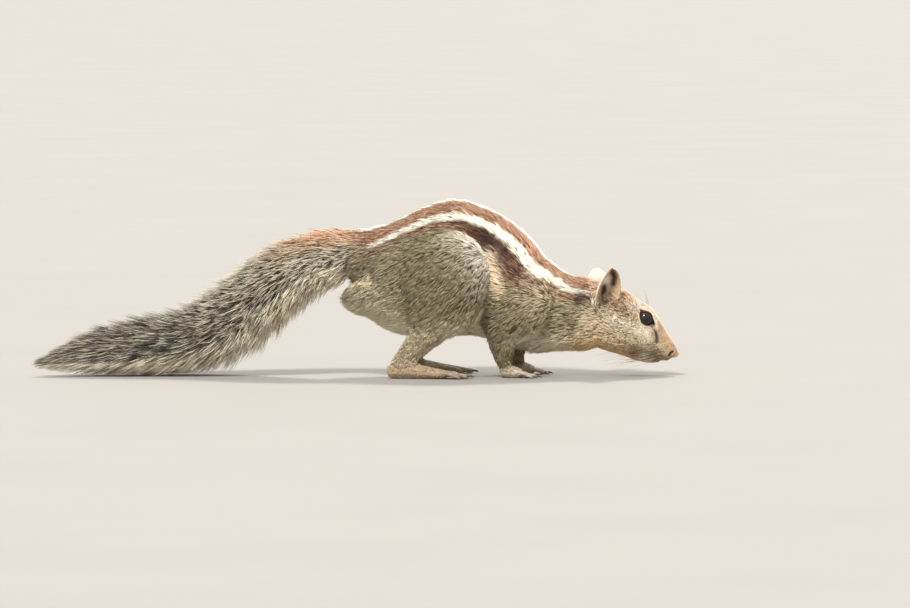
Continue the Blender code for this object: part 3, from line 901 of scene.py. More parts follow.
def sink_skin(skin, kinds, head):
    """Evens the skin out and draws it in by the coat's depth."""
    relax = skin.spread(table_of("relax", kinds), 6)
    skin.points = skin.spread(skin.points, 14, relax * 0.9)
    rear = ramp(skin.points[:, 0], *TAIL_JOIN[:2]) * (1 - ramp(skin.points[:, 0], *TAIL_JOIN[2:]))
    skin.points = skin.spread(skin.points, TAIL_JOIN_ROUNDS, rear * 0.95)
    own_depth = table_of("depth", kinds)
    shorter = np.where(on_parts(kinds, "head", "lower_jaw"), muzzle_share(head.seen_from(skin.points)), 1.0)
    depth = skin.spread(own_depth * shorter, 30)
    thin = on_parts(kinds, "ear", "nose", "hind_foot", "forepaw")
    depth = np.where(thin, np.minimum(depth, own_depth + 0.1), depth)
    skin.points = skin.points - skin.normals() * (depth + CLOSED_GAP * 0.8)[:, None]
    skin.points = skin.spread(skin.points, 4, relax * 0.6)


def make_skin(solids, names, tail, head):
    """The one skin under the coat, and for each point what part of the body it is on, and how far it lies
    outside the eyelids' opening and the dark skin round that."""
    parts = flesh_parts(solids, names, tail, head)
    fillers = [solids["eye_left"], solids["eye_right"], ellipsoid(*SADDLE)]
    skin = finer_parts(voxel_union(parts + fillers), head)
    kinds = nearest_kinds(skin, parts, names)
    sink_skin(skin, kinds, head)
    shape_rump(skin, kinds)
    shape_crown(skin, kinds, head)
    edges, liners = shape_lids(skin, head)
    shape_muzzle(skin, head)
    shape_toes(skin, kinds, solids)
    skin.points[:, 2] = np.maximum(skin.points[:, 2], SOLE_HEIGHT)
    return skin, kinds, edges, liners


# ---------------------------------------------------------------- where the markings lie

# How far the pale side stripe lies below the back, half its width, and how wide and dark the brown band under
# it is: all by share of the way from the root of the tail to the nape.
STRIPE_DROP = (
    (0.0, 10.0), (0.1, 5.2), (0.2, 4.0), (0.3, 4.0), (0.4, 5.0),
    (0.6, 4.8), (0.8, 5.8), (0.9, 4.6), (1.0, 5.0),
)
STRIPE_HALF = ((0.0, 0.0), (0.05, 0.2), (0.12, 0.9), (0.5, 1.5), (0.7, 1.9), (0.8, 1.9), (1.0, 1.0))
BAND_WIDTH = (
    (0.0, 1.0), (0.20, 1.4), (0.33, 1.9), (0.45, 3.2), (0.52, 5.2), (0.60, 8.2), (0.69, 10.2), (0.78, 8.4),
    (0.86, 5.0), (0.93, 3.2), (1.0, 2.0),
)
BAND_DARK = ((0.0, 0.25), (0.35, 0.35), (0.6, 1.0), (0.7, 0.9), (0.9, 0.25), (1.0, 0.1))
MID_STRIPE_HALF = 2.0


class Back:
    """The line of the back from the root of the tail to the nape, through the highest points of the skin."""

    STATIONS = 40

    def __init__(self, skin, kinds):
        points = skin.points[on_parts(kinds, "tail_root", "trunk", "neck")]
        low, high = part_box("trunk")[0].x / MM + 1.5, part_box("neck")[1].x / MM - 1.0
        bins = np.digitize(points[:, 0], np.linspace(low, high, self.STATIONS))
        slices = [points[bins == k] for k in range(1, self.STATIONS)]
        rows = [inside[inside[:, 2].argmax()] for inside in slices if len(inside)]
        self.line = evened(np.array(rows), 3)
        self.middle = np.poly1d(np.polyfit(self.line[:, 0], self.line[:, 1], 3))

    def seen_from(self, points):
        """How far below the back in the side view, the share of the way to the nape, and how far to the left
        of the middle."""
        far, share = line_distance(points[:, [0, 2]], self.line[:, [0, 2]], 160)
        middle = self.middle(np.clip(points[:, 0], self.line[0, 0], self.line[-1, 0]))
        return far, share, points[:, 1] - middle


def paint_body(points, normals, back):
    """Colours of the trunk, the neck and the upper limbs, and the share of dark tufts there."""
    below, share, off = back.seen_from(points)
    half = level(STRIPE_HALF, share)
    ragged = 0.25 * waves(points, 2.6, 21) + 0.12 * waves(points, 1.2, 22)
    above = level(STRIPE_DROP, share) - below + ragged
    belly = ramp(-normals[:, 2], 0.25, 0.8)
    rump = ramp(-points[:, 0], -22, -2) * ramp(below, 8, 21)
    colour = tinted(plain(OLIVE, len(points)), BELLY, belly)
    colour = tinted(colour, PALE_BUFF, 0.75 * rump)
    dark = 0.30 * (1 - 0.55 * belly - 0.3 * rump)
    fringe = above + half + level(BAND_WIDTH, share)
    banded = ramp(fringe, -1.4, 1.4) * ramp(-(above + half), -0.4, 0.4)
    brown = tinted(plain(RUFOUS, len(points)), DARK_BROWN, level(BAND_DARK, share))
    colour = mixed(colour, brown, banded * ramp(share, 0.0, 0.1))
    dark = np.where(banded > 0.5, 0.45, dark)
    saddle = ramp(above - half, -0.4, 0.4)
    top = tinted(plain(RUFOUS, len(points)), DARK_BROWN, 0.22 + 0.16 * waves(points, 5, 23))
    grizzled = ramp(below, 3.5, 6.5) * (1 - ramp(share, 0.04, 0.12))
    top = mixed(top, linear(TAIL_GREY) * 1.15, 0.85 * grizzled)
    colour = mixed(colour, top, saddle)
    dark = np.where(saddle > 0.5, 0.24, dark)
    pale = ramp(half - np.abs(above), -0.3, 0.4) * ramp(half, 0.25, 0.8)
    middle = ramp(MID_STRIPE_HALF - np.abs(off) + 0.5 * ragged, -0.3, 0.4) * saddle * ramp(share, 0.02, 0.1)
    pale = np.maximum(pale, middle * (1 - ramp(share, 0.9, 1.0)))
    return tinted(colour, CREAM, pale), dark * (1 - pale)


# The legs' plain tints: how far the coat is drawn to them, and the share of dark tufts.
LEG_TINTS = (
    ("forearm", OLIVE, 0.8, 0.15),
    ("shank", PALE_BUFF, 0.6, 0.15),
    ("hind_foot", HIND_FOOT, 1.0, 0.10),
    ("forepaw", FOOT, 1.0, 0.10),
)


def paint_limbs(points, kinds, colour, dark):
    """The thigh paler towards its top and front, painted light from above, with a painted highlight along its
    front edge; the cream fold before it; and paler, plainer legs and feet.
    """
    thigh_low, thigh_high = (np.array(corner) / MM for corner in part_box("thigh_right"))
    front, foot_of_thigh = thigh_high[0], thigh_low[2]
    side = points[:, [0, 2]]
    on_thigh = on_parts(kinds, "thigh")
    ahead = (points[:, 0] - front + 25.4) * 0.8 + (points[:, 2] - foot_of_thigh - 22.6) * 0.6
    # painted light: paler towards the thigh's top and front, with a painted highlight along its front edge
    colour = tinted(colour, CREAM, (0.38 * ramp(ahead, 8, 20) + 0.5 * ramp(ahead, 18, 24)) * on_thigh)
    fold = streak(side, ((front, 47), (front + 2.2, 41), (front + 4.5, 34)), 2.7) * on_parts(kinds, "trunk")
    colour = tinted(colour, FOLD_CREAM, 0.9 * fold)
    dark = dark * (1 - 0.8 * fold)
    shoulder = blob(side, (front + 20, 31), 8) * on_parts(kinds, "upper_arm", "neck")
    colour = tinted(colour, PALE_BUFF, 0.55 * shoulder)
    lower = ramp(-points[:, 2], -(foot_of_thigh + 16), -foot_of_thigh) * on_thigh
    colour = tinted(colour, PALE_BUFF, 0.35 * lower)
    for kind, tint, share, dark_share in LEG_TINTS:
        on = on_parts(kinds, kind)
        colour = tinted(colour, tint, share * on)
        dark = np.where(on, dark_share, dark)
    return colour, dark


def paint_head(points, normals, kinds, head, edges, liners, colour, dark):
    """The face: a rufous crown, pale brow and eye ring, dark lids and tear streak, and a speckled pad."""
    place = head.seen_from(points)
    side = place[:, [0, 2]]
    facing = head.axes @ normals.T
    sideways = np.abs(facing[1])
    crown = ramp(facing[2], 0.25, 0.75)
    under = ramp(-facing[2], 0.2, 0.75) * ramp(-place[:, 2], 7, 10)
    bridge = ramp(place[:, 0], 23, 30) * ramp(place[:, 2] + 0.75 * (place[:, 0] - 30), -1.5, 2.5)
    temple = streak(side, ((4.5, 4.6), (10.5, 3.1)), 3.2)
    cheek = streak(side, ((7.5, -1.6), (16.7, -0.4), (22.5, -1.8)), 2.4)
    brow = streak(side, ((12.4, 6.0), (14.9, 8.3), (18.3, 9.4), (21.7, 8.1), (24.0, 6.2)), 1.6)
    below_eye = streak(side, ((17.5, 0.6), (21.8, 0.0), (24.2, -1.8)), 1.2)
    pad = blob(side, (30.2, -4.6), 3.4)
    slit = streak(side, NOSTRIL, 1.2 * NOSTRIL_WIDTH) * ramp(sideways, 0.2, 0.5)
    ring = ramp(liners, 0.2, 0.6) * (1 - ramp(liners, 1.2, 2.2))
    tear = streak(side, ((24.0, 2.9), (25.3, 1.9), (26.8, 0.4), (27.8, -1.4)), 0.72)
    marks = (
        (THROAT, np.maximum(under, blob(side, (16.7, -11.0), 3.0))),
        (FOREHEAD, 0.85 * crown),
        (BRIDGE, bridge),
        (TEMPLE, 0.75 * temple),
        (CREAM, 0.35 * cheek * (1 - crown)),
        (CREAM, 0.4 * brow),
        (CREAM, 0.8 * below_eye),
        (PAD, 0.75 * pad),
        (CREAM, 0.6 * blob(side, (27.2, -9.8), 2.2)),
        (MOUTH_CORNER, 0.8 * blob(side, (21.7, -9.6), 1.8)),
        # painted shade along the mouth's crease
        (MOUTH_SHADE, 0.45 * streak(side, MOUTH_LINE, 0.5) * ramp(sideways, 0.1, 0.4)),
        (NOSE_PINK, on_parts(kinds, "nose")),
        # painted shade in the nostril slits
        (NOSTRIL_SHADE, np.clip(1.3 * slit, 0, 1)),
        (CREAM, 0.55 * ring),
        (TEAR_BROWN, 0.9 * np.clip(1.2 * tear, 0, 1)),
        (LID_BROWN, 1 - ramp(np.minimum(edges - 0.35, liners), -0.1, 0.35)),
    )
    face = plain(CHEEK, len(points))
    for tint, share in marks:
        face = tinted(face, tint, share)
    speckle = np.clip(0.20 + 0.28 * temple - 0.12 * crown + 0.4 * pad, 0, 0.8)
    on = on_parts(kinds, "head", "lower_jaw", "nose") * 1.0
    on = np.where(on_parts(kinds, "neck"), ramp(place[:, 0], -8, 2), on)
    return mixed(colour, face, on), np.where(on > 0.5, speckle, dark)


# In the side view of the head: the painted shadows in the ear's hollow, and the crease behind the ear, where
# shade is painted too.
EAR_SHADOWS = (((-1.6, 15.2), (0.3, 13.8), (1.1, 11.2)), ((-1.8, 8.4), (-0.6, 5.7), (1.3, 3.9), (2.2, 2.0)))
NECK_CREASE = ((-6.6, -7.6), (-4.6, -9.6), (-3.4, -12.4))


def paint_ears(points, normals, kinds, head, colour, dark):
    """Painted shade in the ear's hollow behind its front edge and down to its opening, pale hair inside and a
    pale back, and painted shade in the ear's opening, in a patch behind the ear and along the crease there.

    Gives the share of dark tufts as well, and how bare the skin is."""
    on = on_parts(kinds, "ear")
    place = head.seen_from(points)
    side = place[:, [0, 2]]
    facing = normals @ head.axes.T
    inner = np.where(place[:, 1] > 0, *(Ear(way).hollow_facing(place, facing) for way in (1, -1)))
    shadow = np.clip(1.25 * sum(streak(side, line, 1.3) for line in EAR_SHADOWS), 0, 1)
    ear = tinted(plain(EAR_BACK, len(points)), EAR_SKIN, inner)
    ear = tinted(ear, CREAM, 0.75 * blob(side, (-2.4, 11.2), 2.6) * inner)
    # painted shadows in the ear's hollow
    ear = tinted(ear, EAR_SHADE, shadow * inner)
    # painted shade behind the ear's lobe and along the crease of the neck
    behind = 1.2 * blob(side, (-5.4, 0.8), 2.9) + 0.8 * streak(side, NECK_CREASE, 0.8)
    behind = np.clip(behind, 0, 1) * on_parts(kinds, "head", "neck")
    # painted shade in the ear's opening
    canal = blob(side, (1.8, 2.6), 1.6) * on_parts(kinds, "head")
    colour = tinted(colour, EAR_SHADE, 0.85 * behind)
    colour = tinted(colour, EAR_SHADE, 0.8 * canal)
    return mixed(colour, ear, on), np.where(on, 0.05, dark), inner * on * (1 + shadow) + canal


def paint_tail(points, normals, kinds, tail, colour, dark):
    """Grey brown under the hair, and rufous on top of the root."""
    on = on_parts(kinds, *TAIL_PARTS)
    share = tail.seen_from(points)[0] / tail.length
    rufous = (1 - ramp(share, 0.02, 0.30)) * ramp(normals[:, 2], -0.2, 0.5)
    grey = tinted(plain(TAIL_GREY, len(points)), TAIL_DARK, 0.4)
    return mixed(colour, tinted(grey, RUFOUS, 0.8 * rufous), on), np.where(on, 0.3, dark)


def paint(skin, kinds, edges, liners, tail, head, back):
    """A colour and a share of dark tufts for each point of the skin, and how bare it is in the ears."""
    points, normals = skin.points, skin.normals()
    colour, dark = paint_body(points, normals, back)
    colour, dark = paint_limbs(points, kinds, colour, dark)
    colour, dark = paint_head(points, normals, kinds, head, edges, liners, colour, dark)
    colour, dark, bare = paint_ears(points, normals, kinds, head, colour, dark)
    colour, dark = paint_tail(points, normals, kinds, tail, colour, dark)
    return skin.spread(colour, 2, 0.5), dark, bare


# ---------------------------------------------------------------- the lie of the coat


def lie_of_coat(skin, kinds, tail, head, back):
    """The way that the fur points at each point of the skin."""
    points, normals = skin.points, skin.normals()
    line = back.line
    below, share, _ = back.seen_from(points)
    slope = unit(np.gradient(line, axis=0))
    rearward = -unit(columns_at(share, np.linspace(0, 1, len(line)), slope))
    flank = ramp(np.abs(normals[:, 1]), 0.2, 0.9)
    ways = rearward + np.array((0, 0, -0.30)) * (flank * ramp(below, 7, 14))[:, None]
    low = ramp(below, *BACK_LIE)
    for kind, (x, z) in LIMB_LIE.items():
        on = on_parts(kinds, kind)
        ways[on] = mixed(unit(ways), np.array((x, 0.0, z)), low)[on]
    ways[on_parts(kinds, "hind_foot", "forepaw")] = (1.0, 0.0, -0.1)
    from_nose = unit(head.seen_from(points) - np.array(NOSE_IN_HEAD) - (3.0, 0, 0))
    face_way = head.turned(unit(from_nose + np.array((-0.5, 0, -0.12))))
    outward = 0.2 * np.sign(points[:, 1])
    ear_way = head.turned(np.stack([np.full(len(points), -0.30), outward, np.ones(len(points))], axis=1))
    tail_way = tail.at(tail.seen_from(points)[0])[1]
    face_parts = ("head", "lower_jaw", "nose")
    for names, way in ((face_parts, face_way), (("ear",), ear_way), (TAIL_PARTS, tail_way)):
        on = on_parts(kinds, *names)
        ways[on] = way[on]
    ways = skin.spread(unit(ways), 60)
    return unit(ways - normals * dot(ways, normals)[:, None])


# ---------------------------------------------------------------- tufts

SPIKE_CORNERS = np.array(((-0.5, 0.0), (0.5, 0.0), (0.0, 0.34)))  # across and up, in widths


def spike_faces(rings):
    """Triangles of one spike: a closed root, three sides and a point."""
    faces = [(0, 1, 2)]
    for ring in range(rings - 1):
        for i in range(3):
            j = (i + 1) % 3
            low, high = 3 * ring, 3 * ring + 3
            faces += [(low + j, low + i, high + i), (low + j, high + i, high + j)]
    last = 3 * (rings - 1)
    faces += [(last + (i + 1) % 3, last + i, 3 * rings) for i in range(3)]
    return np.array(faces)


def spikes(paths, ups, widths, taper):
    """Points and triangles of many closed tapering spikes, along paths of shape (n, rings + 1, 3)."""
    count, stops, _ = paths.shape
    rings = stops - 1
    ways = unit(np.gradient(paths, axis=1))
    across = unit(np.cross(ways, ups[:, None, :]))
    over = np.cross(across, ways)
    size = widths[:, None] * np.array(taper)[None]
    points = np.empty((count, 3 * rings + 1, 3))
    for ring in range(rings):
        for corner, (right, rise) in enumerate(SPIKE_CORNERS):
            shift = across[:, ring] * right + over[:, ring] * rise
            points[:, 3 * ring + corner] = paths[:, ring] + shift * size[:, ring, None]
    points[:, -1] = paths[:, -1]
    faces = spike_faces(rings)[None] + (np.arange(count) * (3 * rings + 1))[:, None, None]
    return points, faces.reshape(-1, 3)


def ring_values(values):
    """Values of shape (n, rings + 1, ...) set at each point of the spikes."""
    rings = values.shape[1] - 1
    return values[:, np.r_[np.repeat(np.arange(rings), 3), rings]]


PATCH = 0.003
MOST_TUFTS = 19900  # of ten triangles each, in one piece


def bake_places(roots, normals, rings):
    """A small patch for each tuft, where its root lies on an unwrap of the skin in six flat charts."""
    low, high = roots.min(axis=0), roots.max(axis=0)
    flat = (roots - low) / np.maximum(high - low, 1e-6)
    axis = np.abs(normals).argmax(axis=1)
    behind = np.take_along_axis(normals, axis[:, None], axis=1)[:, 0] < 0
    u = np.where(axis == 0, flat[:, 1], flat[:, 0])
    v = np.where(axis == 2, flat[:, 1], flat[:, 2])
    u = (axis + 0.02 + 0.95 * u) / 3
    v = (behind + 0.02 + 0.95 * v) / 2
    patch = np.empty((len(roots), 3 * rings + 1, 2))
    for ring in range(rings):
        for corner in range(3):
            patch[:, 3 * ring + corner, 0] = u + PATCH * corner / 2
            patch[:, 3 * ring + corner, 1] = v + PATCH * ring / rings
    patch[:, -1, 0] = u + PATCH / 2
    patch[:, -1, 1] = v + PATCH
    return patch


class Roots:
    """Where tufts grow on the skin, and what the skin says there."""

    def __init__(self, skin, fields, density, chosen, most):
        faces = skin.faces[chosen]
        weights = triangle_areas(skin.points[faces]) * density[faces].mean(axis=1)
        self.count = int(min(weights.sum(), most))
        picked, shares = spots_on(len(faces), self.count, weights, RANDOM)
        corners = faces[picked]
        self.at = (skin.points[corners] * shares[..., None]).sum(axis=1)
        self.fields = {}
        for name, values in fields.items():
            weight = shares if values.ndim == 1 else shares[..., None]
            self.fields[name] = (values[corners] * weight).sum(axis=1)

    def __getitem__(self, name):
        return self.fields[name]


LOCK_TUFTS = 7  # about this many tufts gather into one lock
GATHER = 0.32  # how far their tips are drawn to the lock's own


def gathered(roots, paths, pull):
    """Paths whose tips are drawn towards those of the tuft that leads their lock, and each tuft's leader."""
    leaders = RANDOM.choice(roots.count, max(roots.count // LOCK_TUFTS, 1), replace=False)
    tree = KDTree(len(leaders))
    for index, leader in enumerate(leaders):
        tree.insert(roots.at[leader], index)
    tree.balance()
    nearest = leaders[[tree.find(place)[1] for place in roots.at.tolist()]]
    shares = np.linspace(0, 1, paths.shape[1]) ** 1.5
    return paths + (paths[nearest] - paths) * (shares[None, :] * pull[:, None])[..., None], nearest


def tuft_colours(base, dark, frosted, light, stops):
    """Root, middle and tip colours: painted shade at the root over grey underfur, some tufts dark for the
    grizzle and painted shade between locks, and some with a pale tip.
    """
    body = base * light[:, None]
    pale = ramp(base.mean(axis=1), 0.40, 0.75)
    colours = np.empty((len(base), stops, 3))
    for stop in range(stops):
        share = stop / (stops - 1)
        # painted shade towards the root, over the grey underfur
        shade = 1 - (0.38 - 0.30 * pale) * (1 - ramp(share, 0.0, 0.6))
        tip = body * shade[:, None]
        tip = mixed(tip, linear(FROST), 0.5 * frosted * ramp(share, 0.3, 1.0))
        colours[:, stop] = mixed(tip, tip * linear(DARK_TINT), 0.85 * dark * ramp(share, -0.2, 0.4))
    return colours


def make_coat_piece(name, points, faces, material, colours, places):
    """A piece of many tufts, from their points, the colours at their stops and their patches."""
    colours = ring_values(colours).reshape(-1, 3)
    return make_piece(name, points.reshape(-1, 3), faces, material, colours, places.reshape(-1, 2))


TUFT_STOPS = (0.0, 0.48, 1.0)  # where along a tuft its colours and its bends are set
ROOT_DEPTH = 0.12  # how far a tuft's root is sunk into the skin
LOWEST_HAIR = 0.12


def grow_coat(name, skin, fields, chosen, material):
    """A piece of short coat: tufts that leave the skin and then lie along it, up to the coat's depth."""
    roots = Roots(skin, fields, fields["density"], chosen, MOST_TUFTS)
    count = roots.count
    streaks = waves(roots.at, 3.2, 31) + 0.6 * waves(roots.at, 1.4, 32)
    # Dark tufts lie a little deeper and are narrower: partly the fur's dark hairs, partly painted shade
    # between the locks.
    dark = 1.0 * (RANDOM.random(count) < np.clip(roots["dark"] * (1 + 0.9 * streaks), 0, 0.9))
    frosted = (1 - dark) * (RANDOM.random(count) < 0.38 * ramp(roots["colour"].mean(axis=1), 0.06, 0.20))
    ups = unit(roots["normals"])
    ways = unit(roots["ways"])
    bend = (0.15 * waves(roots.at, 5.5, 41) + RANDOM.normal(0, 0.10, count)) * (0.4 + 0.6 * roots["gather"])
    ways = unit(ways + np.cross(ways, ups) * bend[:, None])
    length = roots["length"] * RANDOM.uniform(0.72, 1.15, count)
    lift = roots["depth"] * RANDOM.uniform(0.72, 1.02, count) * (1 - 0.15 * dark)
    paths = np.empty((count, len(TUFT_STOPS), 3))
    for k, share in enumerate(TUFT_STOPS):
        rise = lift * (1 - (1 - share) ** 2) - ROOT_DEPTH * (1 - share)
        paths[:, k] = roots.at + ways * (length * share)[:, None] + ups * rise[:, None]
    paths, leaders = gathered(roots, paths, GATHER * RANDOM.uniform(0.4, 1.3, count) * roots["gather"])
    paths[..., 2] = np.maximum(paths[..., 2], LOWEST_HAIR)
    widths = roots["width"] * RANDOM.uniform(0.75, 1.2, count) * (1 - 0.2 * dark)
    points, faces = spikes(paths, ups, widths, (0.8, 0.95, 0.0))
    light = RANDOM.uniform(0.88, 1.12, count) * RANDOM.uniform(0.91, 1.08, count)[leaders]
    colours = tuft_colours(roots["colour"], dark, frosted, light, len(TUFT_STOPS))
    places = bake_places(roots.at, ups, len(TUFT_STOPS) - 1)
    return make_coat_piece(name, points, faces, material, colours, places)


TAIL_STOPS = (0.0, 0.40, 0.74, 1.0)  # where along a hair its colours and its bends are set
TAIL_HAIR = (4.0, 4.5)  # how far a hair's tip lies along the tail from its root: at least, and the spread
TAIL_HAIR_WIDTH = 0.46
PAST_TAIL_END = 4.5
LOWEST_TAIL_HAIR = 0.15
TAIL_FULLNESS = ((0.0, 0.80), (0.07, 0.90), (0.14, 0.97), (0.20, 1.0), (0.86, 1.0), (0.94, 0.86), (1.0, 0.62))


def tail_paths(tail, roots_at):
    """Bent paths for the tail's hairs, from the core out to its envelope, and for each its way outward, its
    angle round the tail and its share of the way along."""
    count = len(roots_at)
    place, _, side, up = tail.seen_from(roots_at)
    angle = np.arctan2(up, side) + RANDOM.normal(0, 0.2, count)
    fullness = (1.12 - 0.62 * RANDOM.random(count) ** 2) * (1 + 0.10 * waves(roots_at, 3.0, 55))
    sweep = (TAIL_HAIR[0] + TAIL_HAIR[1] * RANDOM.random(count)) * (0.4 + 0.6 * fullness)
    tip_place = place / TAIL_CORE_LENGTH * 0.995 + sweep
    past = np.clip(tip_place - tail.length, 0, PAST_TAIL_END * RANDOM.random(count))
    tip_place = np.minimum(tip_place, tail.length)
    middle, along, left, over = tail.at(tip_place)
    outward = left * np.cos(angle)[:, None] + over * np.sin(angle)[:, None]
    reach = tail.ellipse(tip_place, np.cos(angle), np.sin(angle)) * fullness
    reach = reach * level(TAIL_FULLNESS, tip_place / tail.length) * (1 - 0.17 * past)
    reach = np.maximum(reach, level(TAIL_CORE, tip_place / tail.length) + 0.5)
    tips = middle + outward * reach[:, None] + along * past[:, None]
    rise = 0.55 * np.maximum(reach - np.hypot(side, up), 0)
    knee = roots_at + outward * rise[:, None] + tail.at(place)[1] * (sweep * 0.20)[:, None]
    paths = np.empty((count, len(TAIL_STOPS), 3))
    for k, s in enumerate(TAIL_STOPS):
        paths[:, k] = roots_at * (1 - s) ** 2 + knee * 2 * s * (1 - s) + tips * s**2
    return paths, outward, angle, place / tail.length


TAIL_BANDING = ((0.0, 0.1), (0.12, 0.42), (0.3, 0.85), (0.5, 1.0))  # the share of banded hairs along the tail


def tail_colours(angle, share):
    """Most hairs have a black band and a pale tip. Those underneath are pale, and those on the root's top are
    rufous."""
    count = len(angle)
    above = np.sin(angle)
    underneath = ramp(-above, 0.15, 0.65)
    banded = 1.0 * (RANDOM.random(count) < (0.94 - 0.84 * underneath) * level(TAIL_BANDING, share))
    # Towards the outer tail more tips are black and, away from the underside, the pale ones dimmer: partly
    # the tail's own banding, partly painted shade.
    blackened = banded * (RANDOM.random(count) < 0.6 * ramp(share, 0.2, 0.6))
    pale = tinted(plain(TAIL_PALE, count), TAIL_FRINGE, underneath)
    pale = pale * (1 - 0.28 * ramp(share, 0.3, 0.65) * (1 - underneath))[:, None]
    dull = tinted(pale, TAIL_GREY, 0.75 * (1 - underneath))
    black = plain(TAIL_DARK, count)
    rufous = 0.8 * (1 - ramp(share, 0.05, 0.28)) * ramp(above, 0.3, 0.75) * (RANDOM.random(count) < 0.85)
    stops = (
        mixed(dull * 0.5, black, 0.5 * banded),
        mixed(dull * 0.75, black, banded),
        mixed(dull * 0.9, mixed(black, pale, 0.06), banded),
        mixed(pale, black, 0.85 * blackened),
    )
    colours = [mixed(stop, linear(RUFOUS) * (0.8 + 0.16 * k), rufous) for k, stop in enumerate(stops)]
    return np.stack(colours, axis=1) * RANDOM.uniform(0.85, 1.12, count)[:, None, None]


def grow_tail(name, skin, fields, tail, chosen, count, material):
    """Long banded hairs that stand off the tail's core and sweep to the tip, filling the tail's solids."""
    roots = Roots(skin, fields, np.full(len(skin.points), 1000.0), chosen, count)
    paths, outward, angle, share = tail_paths(tail, roots.at)
    paths, _ = gathered(roots, paths, 0.6 * RANDOM.uniform(0.5, 1.2, roots.count))
    paths[..., 2] = np.maximum(paths[..., 2], LOWEST_TAIL_HAIR)
    widths = TAIL_HAIR_WIDTH * RANDOM.uniform(0.7, 1.25, roots.count)
    points, faces = spikes(paths, unit(outward), widths, (0.7, 1.0, 0.85, 0.0))
    places = bake_places(roots.at, unit(outward), len(TAIL_STOPS) - 1)
    return make_coat_piece(name, points, faces, material, tail_colours(angle, share), places)


def coat_fields(skin, kinds, tail, head, back, colour, dark, edges, liners, bare):
    """All that the tufts need to know, at each point of the skin."""
    in_head = head.seen_from(skin.points)
    on_head = on_parts(kinds, "head", "lower_jaw")
    shorter = np.where(on_head, muzzle_share(in_head), 1.0)
    near_eye = ramp(np.minimum(edges - 0.5, liners), 0.0, 1.6)
    slit = (line_distance(in_head[:, [0, 2]], NOSTRIL)[0] < 0.9) & (in_head[:, 0] > 34)
    density = table_of("density", kinds) * np.where(on_head, 1 + 1.2 * (1 - shorter), 1.0)
    density = density * ramp(np.minimum(edges - 0.55, liners + 0.1), 0.0, 0.3)
    density = density * (1 - 0.45 * np.clip(bare, 0, 2))
    rump = ramp(-skin.points[:, 0], -12, 2) * on_parts(kinds, "trunk", "thigh")
    under = ramp(-skin.normals()[:, 2], 0.2, 0.8) * on_parts(kinds, "trunk", "neck", "thigh")
    depth = skin.spread(table_of("depth", kinds) * shorter, 30) * (0.25 + 0.75 * near_eye)
    length = skin.spread(table_of("length", kinds) * shorter, 30) * (0.4 + 0.6 * near_eye)
    width = skin.spread(table_of("width", kinds), 20) * (0.6 + 0.4 * near_eye) * (0.75 + 0.25 * shorter)
    return {
        "normals": skin.spread(skin.normals(), 3),
        "ways": lie_of_coat(skin, kinds, tail, head, back),
        "colour": colour,
        "dark": dark,
        "depth": depth * (1 + 0.5 * skin.spread(under, 10)),
        "length": length + 1.2 * skin.spread(rump, 10),
        "width": width,
        "gather": np.where(on_parts(kinds, *SHORT_HAIRED), 0.2, 1.0),
        "density": np.where(slit, 0.0, np.maximum(density, 0)),
    }


COAT_GROUPS = (
    ("trunk", ("trunk",), (-1, 1)),
    ("hind_leg", ("thigh", "shank"), (-1, 1)),
    ("foreleg", ("upper_arm", "forearm"), (-1, 1)),
    ("head", ("head", "lower_jaw", "ear"), (-1, 1)),
    ("neck", ("neck",), (0,)),
    ("feet", ("hind_foot", "forepaw"), (0,)),
)
SIDE_NAMES = {-1: "_right", 0: "", 1: "_left"}
TAIL_PIECES = ((0.0, 0.25, 7500), (0.25, 0.55, 8500), (0.55, 1.01, 8500))  # from and to, by share, and hairs


def lengths_of(skin, density, chosen):
    """The chosen faces in as many lengths, from the tail to the nose, as keep each under the most tufts."""
    faces = np.flatnonzero(chosen)
    faces = faces[np.argsort(skin.points[skin.faces[faces, 0], 0], kind="stable")]
    tufts = triangle_areas(skin.points[skin.faces[faces]]) * density[skin.faces[faces]].mean(axis=1)
    run = np.cumsum(tufts)
    count = int(run[-1] // MOST_TUFTS) + 1
    ends = run[-1] * np.arange(count + 1) / count
    return [faces[(run > low) & (run <= high)] for low, high in zip(ends, ends[1:])]


def grow_all(skin, kinds, fields, tail):
    """Every piece of the coat. A face belongs to the piece of its first point's body part and side."""
    material = coat_material()
    firsts = skin.faces[:, 0]
    face_kind = kinds[firsts]
    face_side = np.where(skin.points[firsts, 1] > 0, 1, -1)
    for title, names, sides in COAT_GROUPS:
        for side in sides:
            chosen = on_parts(face_kind, *names) & (side * face_side >= 0)
            lengths = lengths_of(skin, fields["density"], chosen)
            for number, faces in enumerate(lengths):
                name = f"coat_{title}{SIDE_NAMES[side]}" + (f"_{number + 1}" if len(lengths) > 1 else "")
                grow_coat(name, skin, fields, faces, material)
    on_tail = on_parts(face_kind, *TAIL_PARTS)
    where = np.full(len(firsts), -1.0)
    where[on_tail] = tail.seen_from(skin.points[firsts[on_tail]])[0] / tail.length
    for k, (low, high, count) in enumerate(TAIL_PIECES):
        chosen = on_tail & (where >= low) & (where < high)
        grow_tail(f"coat_tail_{k + 1}", skin, fields, tail, chosen, count, material)


# ---------------------------------------------------------------- eyes, claws, whiskers


def make_eyes(head):
    """Dark glossy balls with a faint brown iris, a little fuller in front."""
    material = eye_material()
    for side, name in ((1, "eye_left"), (-1, "eye_right")):
        points, faces = ellipsoid(np.zeros(3), np.full(3, EYE_RADIUS), 48, 32)
        middle, axis = head.eye(side)
        angle = np.arccos(np.clip(dot(unit(points), axis), -1, 1))
        points = points * (1 + EYE_BULGE * fading(angle, 0.7))[:, None]
        iris = ramp(angle, 0.45, 0.62) * (1 - ramp(angle, 1.0, 1.25))
        colours = tinted(plain(EYE_BLACK, len(points)), IRIS_BROWN, iris)
        piece = make_piece(f"eyeball_{name[4:]}", points + middle, faces, material, colours)
        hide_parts(name)


